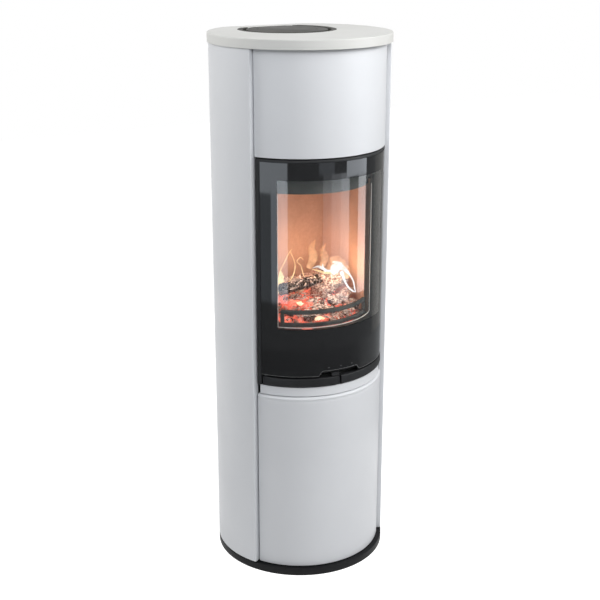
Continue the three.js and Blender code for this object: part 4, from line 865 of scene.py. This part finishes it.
def makeOpeningTape():
    p = openingTape
    half = degrees(p["wide"] / p["radius"])
    face, front, soft = p["radius"] - p["sunk"], p["radius"] + p["thick"], p["soft"]
    low, high, angle = p["low"], p["high"], p["angle"]
    for label, start, end, bottom, top in (
            ("Left", -angle, half - angle, low, high), ("Right", angle - half, angle, low, high),
            ("Low", -angle, angle, low - p["wide"] * p["lowShare"], low)):
        band = [(face, bottom), (front - soft, bottom), (front, bottom + soft), (front, top - soft),
                (front - soft, top), (face, top)]
        turned("openingTape" + label, band, stoveBody, paleTapeWithPaintedGlow, "seal_rope", None, start, end, step=1.5)


makeLogRetainer()
makeWeldSeams()
makeOpeningTape()


def fromMm(values):
    return Vector([value * mm for value in values])


# split logs in millimetres: two ends, a radius at each, and a cross section with a few flat faces
logs = {
    "charredLog": {"from": (-94, -52, 801), "to": (34, -62, 822), "radius": (17, 14), "seed": 3, "rough": 4.5,
                   "sides": (1.0, 0.82, 1.05, 0.75, 0.95, 0.7), "finish": charredWood},
    "ashLog": {"from": (12, -72, 788), "to": (124, -20, 806), "radius": (29, 26), "seed": 7, "rough": 7,
               "sides": (1.0, 0.7, 0.95, 0.8, 1.05, 0.85), "finish": ashWood},
    "backLog": {"from": (-115, 30, 772), "to": (110, 45, 785), "radius": (30, 28), "seed": 11, "rough": 6,
                "sides": (0.95, 0.75, 1.0, 0.8, 1.0, 0.85), "finish": ashWood},
    "lowLog": {"from": (-105, -85, 767), "to": (20, -100, 762), "radius": (19, 16), "seed": 15, "rough": 6,
               "sides": (1.0, 0.8, 0.9, 0.75, 1.0, 0.9), "finish": liveCoal},
    "slabLog": {"from": (62, -108, 762), "to": (128, -62, 776), "radius": (17, 14), "seed": 23, "rough": 3,
                "sides": (1.0, 0.55, 0.9, 0.6, 1.0, 0.6), "finish": ashWood},
    "darkLog": {"from": (-10, -132, 750), "to": (40, -128, 752), "radius": (12, 10), "seed": 19, "rough": 4,
                "sides": (1.0, 0.7, 0.95, 0.75, 1.0, 0.8), "finish": charredWood},
}
logSkin = {"rings": 46, "around": 48, "shift": (3.1, 1.7, 0.9), "grain": (9, 3.2), "cracks": (26, 6),
           "crackWidth": 0.16, "crackDepth": 4.5, "endStart": 0.6, "endRings": 2.2}


def makeLog(name, p):
    q = logSkin
    start, end = fromMm(p["from"]), fromMm(p["to"])
    along = end - start
    side = along.cross(Vector((0, 0, 1))).normalized()
    up = side.cross(along).normalized()
    shift = Vector([p["seed"] * step for step in q["shift"]])
    corners, rough = p["sides"], p["rough"] * mm
    rings = []
    for i in range(q["rings"] + 1):
        t = i / q["rings"]
        radius = (p["radius"][0] + (p["radius"][1] - p["radius"][0]) * t) * mm
        taper = min(1.0, (min(t, 1 - t) * q["rings"] + q["endStart"]) / q["endRings"]) ** 0.5
        middle = start + along * t
        rings.append([])
        for j in range(q["around"]):
            turn = tau * j / q["around"]
            k, mix = divmod(j / q["around"] * len(corners), 1)
            mix = mix * mix * (3 - 2 * mix)
            bulk = corners[int(k)] * (1 - mix) + corners[int(k + 1) % len(corners)] * mix
            spot = middle + (side * cos(turn) + up * sin(turn)) * radius * bulk * taper
            grain, cracks = (Vector((t * length, cos(turn) * girth, sin(turn) * girth)) + shift
                             for length, girth in (q["grain"], q["cracks"]))
            crack = max(0.0, q["crackWidth"] - abs(noise.noise(cracks))) * q["crackDepth"]
            swell = (noise.fractal(grain, 1.0, 2.1, 4) - crack) * rough
            rings[-1].append(spot + (spot - middle).normalized() * swell)
    addPiece(name, loft(rings), stoveBody, p["finish"], "lining", sharpAngle=60)


# a heap of broken embers over the grate and hearth
embers = {
    "coals": 150, "seed": 5, "halfWidth": 0.122, "front": -0.170, "back": 0.07, "floor": 0.7195,
    "slope": 0.09, "backSlope": 0.05, "margin": 0.02, "heapHeight": 0.052, "small": 0.006, "large": 0.0145,
    "lift": 0.2, "startGap": 0.01, "crowding": 1.4,
    "retainerRadius": 0.178, "retainerGap": 0.012, "clear": 0.016, "bedCells": 70, "bedRough": 0.006,
    "bedScale": 60, "bedSkin": 1.5 * mm,
}
# the hottest embers in millimetres: place and radius
hotEmbers = ((-57.1, -100, 772.5, 10.5), (-49, -97, 771, 7.5), (-64, -96, 770, 7),
             (-26.2, -158, 743.5, 7.5), (-36, -157, 742, 5), (-17, -159, 742, 5))
hotSpots = [fromMm(row[:2]) for row in hotEmbers]
coalKinds = {"liveCoals": liveCoal, "deadCoals": deadCoal, "ashCoals": ashWood}
coalOrder = ("liveCoals", "liveCoals", "deadCoals", "liveCoals", "ashCoals")
coalShape = {"stretch": ((0.7, 1.7), (0.6, 1.1), (0.5, 0.9)), "lumps": 0.5, "lumpScale": 1.3}


def emberHeight(x, y):
    p = embers
    across = max(0.0, 1 - (x / (p["halfWidth"] + p["margin"])) ** 2)
    front = max(0.0, min(1.0, (y - p["front"]) / p["slope"]))
    depth = front * max(0.0, min(1.0, (p["back"] + p["margin"] - y) / p["backSlope"]))
    return p["floor"] + p["heapHeight"] * across ** 0.5 * depth ** 0.75


def makeEmberBed():
    p = embers
    grid = [i / p["bedCells"] for i in range(p["bedCells"] + 1)]
    points = []
    for v in grid:
        for u in grid:
            x, y = (2 * u - 1) * p["halfWidth"], p["front"] + (p["back"] - p["front"]) * v
            pull = min(1, p["retainerRadius"] / hypot(x, y)) if y < 0 else 1
            x, y = x * pull, y * pull
            rough = noise.fractal(Vector((x * p["bedScale"], y * p["bedScale"], 2)), 1.0, 2.0, 5) - 1
            points.append((x, y, max(p["floor"], emberHeight(x, y) + rough * p["bedRough"])))
    bed = addPiece("emberBed", (points, gridFaces(len(grid), len(grid))), stoveBody, liveCoal, "lining",
                   sharpAngle=180)
    bed.data.flip_normals()
    modify(bed, "SOLIDIFY", thickness=p["bedSkin"], offset=-1)


def addCoal(work, spot, size, dice):
    p = coalShape
    made = bmesh.ops.create_icosphere(work, subdivisions=2, radius=size)
    stretch = Vector([dice.uniform(*limits) for limits in p["stretch"]])
    turn = Matrix.Rotation(dice.uniform(0, tau), 3, "Z")
    shift = Vector((dice.uniform(0, 50), dice.uniform(0, 50), 0))
    for v in made["verts"]:
        lump = 1 + p["lumps"] * noise.noise(v.co / size * p["lumpScale"] + shift)
        v.co = turn @ (v.co * lump * stretch) + spot


def makeCoals():
    p = embers
    dice = random.Random(p["seed"])
    heaps = {name: bmesh.new() for name in coalKinds}
    for i in range(p["coals"]):
        radius = 2.0
        while radius > p["retainerRadius"] - p["retainerGap"]:
            x = dice.uniform(-p["halfWidth"], p["halfWidth"])
            reach = p["back"] - p["front"] - 2 * p["startGap"]
            y = p["front"] + p["startGap"] + reach * dice.random() ** p["crowding"]
            radius = hypot(x, y) if y < 0 else 0
        size = p["small"] + (p["large"] - p["small"]) * dice.random() ** 2
        if min((Vector((x, y)) - hot).length for hot in hotSpots) >= p["clear"]:
            spot = Vector((x, y, emberHeight(x, y) + size * p["lift"]))
            addCoal(heaps[coalOrder[i % len(coalOrder)]], spot, size, dice)
    for name, work in heaps.items():
        heap = attach(linkMesh(name, work, coalKinds[name]), stoveBody)
        heap.data.shade_flat()


def makeHotEmbers():
    work = bmesh.new()
    dice = random.Random(3)
    for row in hotEmbers:
        addCoal(work, fromMm(row[:3]), row[3] * mm, dice)
    attach(linkMesh("hotEmbers", work, hotEmber), stoveBody).data.shade_smooth()


# thin split pieces burnt to pale ash, strewn over the front of the heap; rings are (place along, size)
splinters = {
    "count": 330, "seed": 41, "xRange": (-0.060, 0.125), "yRange": (-0.166, -0.020),
    "long": (0.014, 0.036), "wide": (0.0014, 0.0029), "clear": 0.016, "above": 0.0012, "ceiling": 0.828,
    "rayFrom": 0.95, "bend": 0.08, "turns": (35, 55, -40, 80, 10), "turnSpread": 18, "level": 1.5,
    "flat": 0.6, "rings": ((-0.5, 0.35), (-0.2, 1.0), (0.2, 0.9), (0.5, 0.3)),
    "section": ((1, 0.4), (-1, 1), (-1, -0.6), (1, -1)),
}


def makeSplinters():
    p = splinters
    dice = random.Random(p["seed"])
    bpy.context.view_layer.update()
    ready = bpy.context.evaluated_depsgraph_get()
    heap = [BVHTree.FromObject(bpy.data.objects[name], ready) for name in (*logs, "emberBed", *coalKinds)]
    reach = embers["retainerRadius"] - embers["retainerGap"]
    chips = []
    made = 0
    while made < p["count"]:
        spot = Vector((dice.uniform(*p["xRange"]), dice.uniform(*p["yRange"])))
        turn = radians(dice.choice(p["turns"]) + dice.uniform(-p["turnSpread"], p["turnSpread"]))
        length, width = dice.uniform(*p["long"]), dice.uniform(*p["wide"])
        bend = dice.uniform(-p["bend"], p["bend"]) * length
        if spot.length > reach or min((spot - hot).length for hot in hotSpots) < p["clear"]:
            continue
        hits = [tree.ray_cast(Vector((*spot, p["rayFrom"])), Vector((0, 0, -1))) for tree in heap]
        ground, normal = max((hit[0].z, tuple(hit[1])) for hit in hits if hit[0] is not None)
        made += 1
        if ground > p["ceiling"]:
            continue
        normal = (Vector(normal) + Vector((0, 0, p["level"]))).normalized()
        along = Vector((cos(turn), sin(turn), 0))
        along = (along - normal * along.dot(normal)).normalized()
        side = along.cross(normal).normalized()
        middle = Vector((*spot, ground)) + normal * (p["above"] + width)
        rings = []
        for t, size in p["rings"]:
            centre = middle + along * length * t + side * bend * (1 - 4 * t * t)
            rings.append([centre + side * width * size * a + normal * width * p["flat"] * size * b
                          for a, b in p["section"]])
        chips.append(loft(rings))
    addPiece("splinters", merged(chips), stoveBody, splinterAsh, "lining", sharpAngle=20)


# tongues of flame: finish, depth for its width, and points with a half width, in millimetres
flames = {
    "flameBright": (whiteFlame, 0.35, (
        (10, -55, 854, 0.8), (26, -55, 856, 3), (40, -55, 850, 4.2), (60, -55, 839, 3.4),
        (80, -55, 842, 8), (94, -55, 848, 12), (108, -62, 839, 7), (120, -70, 825, 3),
        (127.5, -80, 806, 2.2), (127, -88, 790, 2), (128.5, -92, 776, 1))),
    "flameCrown": (whiteFlame, 0.4, (
        (74, -52, 828, 8), (84, -52, 840, 14), (91, -52, 851, 12), (84, -52, 859, 6), (76, -50, 861, 1.5))),
    "flameFork": (whiteFlame, 0.4, ((52, -55, 838, 3), (44, -55, 848, 3), (42, -55, 862, 0.9))),
    "flameLoop": (whiteFlame, 0.35, (
        (98, -62, 834, 6), (101, -68, 820, 4.2), (104, -78, 803, 2.6), (110, -85, 790, 2.4),
        (120, -91, 780, 2.2), (128.5, -92, 776, 1))),
    "flameHalo": (hazeFlame, 0.3, (
        (52, -50, 838, 6), (72, -48, 842, 20), (90, -48, 848, 27), (108, -55, 836, 20), (120, -66, 812, 8))),
    "flameUnder": (yellowFlame, 0.4, (
        (10, -50, 850, 1), (30, -50, 842, 2.5), (50, -50, 834, 3.5), (74, -50, 830, 5))),
    "flameArchLeft": (yellowFlame, 0.5, (
        (-84, -20, 800, 4), (-78, -20, 825, 3.4), (-72, -20, 851, 1.8), (-59, -20, 874, 1.7),
        (-50, -20, 890, 1.4), (-37, -20, 907, 0.8))),
    "flameArchRight": (yellowFlame, 0.5, (
        (-50, -20, 806, 2.4), (-34, -20, 828, 1.7), (-27, -20, 850, 1.5), (-30, -20, 873, 1.5),
        (-42, -20, 900, 0.9))),
    "flameThread": (yellowFlame, 0.6, (
        (-1, -30, 818, 1.3), (-8, -30, 838, 1.4), (-14, -30, 858, 1.3), (-26, -30, 872, 1.4),
        (-16, -30, 882, 1.4), (-6, -30, 874, 0.8))),
    "flameLeftEdge": (yellowFlame, 0.6, (
        (-84, -32, 788, 8), (-81, -32, 810, 10.5), (-76, -32, 836, 7), (-80, -32, 856, 1.5))),
    "flameHazeLeft": (hazeFlame, 0.6, (
        (44, 30, 826, 8), (60, 30, 856, 15), (54, 30, 884, 11), (66, 30, 908, 1.5))),
    "flameHazeRight": (hazeFlame, 0.6, (
        (86, 30, 824, 8), (98, 30, 850, 12), (90, 30, 874, 8), (102, 30, 894, 1.2))),
}
flameSkin = {"rings": 72, "around": 16, "facing": -28.7, "thinnest": 0.4 * mm, "waver": 0.3,
             "waverAlong": 0.18, "waverAcross": 40}


# smooth point and half width along a tongue
def alongCurve(path, t):
    start, u = divmod(t * (len(path) - 1), 1)
    k = int(start)
    if k == len(path) - 1:
        k, u = k - 1, 1.0
    a, b, c, d = (path[min(max(i, 0), len(path) - 1)] for i in range(k - 1, k + 3))
    bend, twist = 2 * a - 5 * b + 4 * c - d, 3 * b - a - 3 * c + d
    return 0.5 * (2 * b + (c - a) * u + bend * u * u + twist * u ** 3)


def makeFlame(name, finish, depth, rows):
    p = flameSkin
    path = [fromMm(row) for row in rows]
    toViewer = planPoint(1, p["facing"])
    rings = []
    for i in range(p["rings"] + 1):
        here, ahead, behind = (alongCurve(path, min(1, max(0, (i + shift) / p["rings"])))
                               for shift in (0, 0.5, -0.5))
        along = (ahead - behind).to_3d().normalized()
        side = along.cross(toViewer).normalized()
        deep = side.cross(along).normalized()
        waver = noise.noise(Vector((i * p["waverAlong"], here.x * p["waverAcross"], 1)))
        width = max(p["thinnest"], here.w) * (1 + p["waver"] * waver)
        rings.append([here.to_3d() + side * cos(turn) * width + deep * sin(turn) * width * depth
                      for turn in (tau * j / p["around"] for j in range(p["around"]))])
    flame = addPiece(name, loft(rings), stoveBody, finish, "lining", sharpAngle=180)
    flame.visible_shadow = False


for name, settings in logs.items():
    makeLog(name, settings)
makeEmberBed()
makeCoals()
makeSplinters()
makeHotEmbers()
for name, settings in flames.items():
    makeFlame(name, *settings)
print("fire laid")

photoCamera = {"place": (-1.515, -2.767, 1.7733), "tilt": 71.96, "turn": -28.7, "lens": 69.86, "sensor": 36}


def makeCamera():
    p = photoCamera
    data = bpy.data.cameras.new("photoCamera")
    data.sensor_width = p["sensor"]
    data.lens = p["lens"]
    camera = bpy.data.objects.new("photoCamera", data)
    camera.location = p["place"]
    camera.rotation_euler = (radians(p["tilt"]), 0, radians(p["turn"]))
    bpy.context.scene.collection.objects.link(camera)
    bpy.context.scene.camera = camera


studio = {"floorHalf": 7.0, "floorTone": 0.58, "floorGlow": 0.85, "world": 0.34, "sheetStep": 6}

# sheets that only reflections see: from and to plan angle, distance and height of the first edge and of the
# other, brightness, colour. The cards stand round the stove and the cloths lie on the floor
coolWhite = (0.9, 0.94, 1.0)
darkCool = (0.95, 0.98, 1.0)
reflectors = {
    "darkFlag": (-112, 150, 2.02, 0.002, 2.02, 1.55, 0.28, darkCool),
    "cardLeftHigh": (-80, -44.5, 2.0, 0.70, 2.0, 1.5, 3.1, (0.86, 0.93, 1.0)),
    "cardLeft": (-66, -44.5, 2.0, 0.226, 2.0, 0.70, 2.6, (0.82, 0.9, 1.0)),
    "cardLeftEdge": (-80, -66, 2.0, 0.226, 2.0, 0.70, 0.8, (0.84, 0.92, 1.0)),
    "cardStripHigh": (-5, 15.7, 2.0, 0.78, 2.0, 1.5, 1.0, (0.86, 0.92, 1.0)),
    "veilSoft": (0.7, 12, 2.0, 0.22, 2.0, 0.78, 1.0, coolWhite),
    "veilMiddle": (12, 25, 2.0, 0.22, 2.0, 0.78, 1.7, coolWhite),
    "veilBright": (25, 37.7, 2.0, 0.22, 2.0, 0.78, 2.4, coolWhite),
    "cardRightHigh": (33, 67, 2.0, 0.76, 2.0, 1.5, 4.6, (0.88, 0.93, 1.0)),
    "cardRight": (52.7, 67, 2.0, 0.24, 2.0, 0.76, 2.6, (0.92, 0.95, 1.0)),
    "cardFarRight": (88, 150, 2.0, 0.02, 2.0, 1.5, 0.42, (1.0, 1.0, 0.97)),
    "darkCloth": (-112, 43, 0.9, 0.004, 2.02, 0.004, 0.17, darkCool),
    "dimCloth": (43, 49, 0.9, 0.004, 2.02, 0.004, 0.21, darkCool),
    "greyCloth": (49, 55, 0.9, 0.004, 2.02, 0.004, 0.25, darkCool),
    "softCloth": (55, 62, 0.9, 0.004, 2.02, 0.004, 0.30, darkCool),
    "paleCloth": (62, 150, 0.9, 0.004, 2.02, 0.004, 0.36, darkCool),
}


def makeFloor():
    half = studio["floorHalf"]
    corners = [(-half, -half, 0), (half, -half, 0), (-half, half, 0), (half, half, 0)]
    f = Finish("studioFloor", (studio["floorTone"],) * 3, 0.9, 0.0, 0.0)
    f.give({"Emission Color": (1.0, 1.0, 1.0),
            "Emission Strength": f.calc("MULTIPLY", f.whiteRays(), studio["floorGlow"])})
    linkMesh("studioFloor", (corners, gridFaces(2, 2)), f.material)


def makeWorld():
    world = bpy.data.worlds.new("studioWorld")
    bpy.context.scene.world = world
    world.use_nodes = True
    n = Nodes(world.node_tree)
    back = n.tree.nodes["Background"].inputs
    n.put(back["Color"], (1, 1, 1))
    n.put(back["Strength"], n.spread(n.whiteRays(), studio["world"], 1.0))


def makeReflector(name, start, end, nearRadius, nearHeight, farRadius, farHeight, strength, color):
    turns = steps(start, end, studio["sheetStep"])
    points = [planPoint(radius, a, z) for radius, z in ((nearRadius, nearHeight), (farRadius, farHeight))
              for a in turns]
    material = bpy.data.materials.new(name)
    material.use_nodes = True
    n = Nodes(material.node_tree)
    n.tree.nodes.clear()
    glow = n.add("Emission", {"Color": color, "Strength": strength})[0]
    clear = n.add("BsdfTransparent")[0]
    isGlossy = n.add("LightPath")["Is Glossy Ray"]
    n.add("OutputMaterial", {"Surface": n.add("MixShader", {0: isGlossy, 1: clear, 2: glow})[0]})
    linkMesh(name, (points, gridFaces(2, len(turns))), material)


# softboxes: plan angle, distance, height, width, height of the box, watts, colour; they aim at aimHeight
softboxes = {
    "softboxRight": (46, 2.6, 2.6, 1.6, 1.3, 68, (1.0, 0.99, 0.97)),
    "softboxFront": (-20, 3.0, 3.0, 1.6, 1.2, 45, (0.97, 0.985, 1.0)),
    "softboxLeft": (-125, 2.3, 2.3, 1.2, 1.4, 35, (1.0, 0.99, 0.965)),
}
aimHeight = 0.8
# warm light of the fire, from inside the firebox: place, watts, radius
fireLamps = {
    "fireGlow": ((0.005, -0.07, 0.87), 0.31, 0.05),
    "fireGlowMiddle": ((0.005, -0.07, 0.96), 0.14, 0.05),
    "fireGlowHigh": ((0.005, -0.07, 1.05), 0.115, 0.05),
    "flameGlow": ((0.085, -0.085, 0.850), 0.225, 0.02),
    "emberGlow": ((0.01, -0.16, 0.81), 0.125, 0.03),
    "backGlowLeft": ((-0.045, 0.045, 0.865), 0.06, 0.04),
    "backGlowRight": ((0.055, 0.045, 0.870), 0.075, 0.04),
    "hollowGlow": ((-0.057, -0.112, 0.788), 0.010, 0.008),
}
fireColor = (1.0, 0.54, 0.31)
# the studio's light that comes in through the pane
paneLight = {"place": (0, -0.2, 0.94), "wide": 0.25, "tall": 0.36, "watts": 0.10, "color": (0.97, 0.985, 1.0)}


def addLamp(name, kind, spot, turn, watts, color, **settings):
    data = bpy.data.lights.new(name, kind)
    for label, value in {"energy": watts, "color": color, **settings}.items():
        setattr(data, label, value)
    lamp = bpy.data.objects.new(name, data)
    lamp.location, lamp.rotation_euler = spot, turn
    bpy.context.scene.collection.objects.link(lamp)
    return lamp


def makeLamps():
    for name, (angle, distance, height, width, tall, watts, color) in softboxes.items():
        spot = planPoint(distance, angle, height)
        turn = (Vector((0, 0, aimHeight)) - spot).to_track_quat("-Z", "Y").to_euler()
        addLamp(name, "AREA", spot, turn, watts, color, shape="RECTANGLE", size=width, size_y=tall)
    p = paneLight
    inside = [addLamp(name, "POINT", spot, (0, 0, 0), watts, fireColor, shadow_soft_size=radius)
              for name, (spot, watts, radius) in fireLamps.items()]
    inside.append(addLamp("paneLight", "AREA", p["place"], (radians(90), 0, 0), p["watts"], p["color"],
                          shape="RECTANGLE", size=p["wide"], size_y=p["tall"]))
    for lamp in inside:
        lamp.visible_transmission = False  # the flames are seen, not the lamps in them
        lamp.visible_glossy = False


makeCamera()
makeFloor()
makeWorld()
for name, settings in reflectors.items():
    makeReflector(name, *settings)
makeLamps()
bpy.context.scene.view_settings.view_transform = "Standard"
print("studio made")
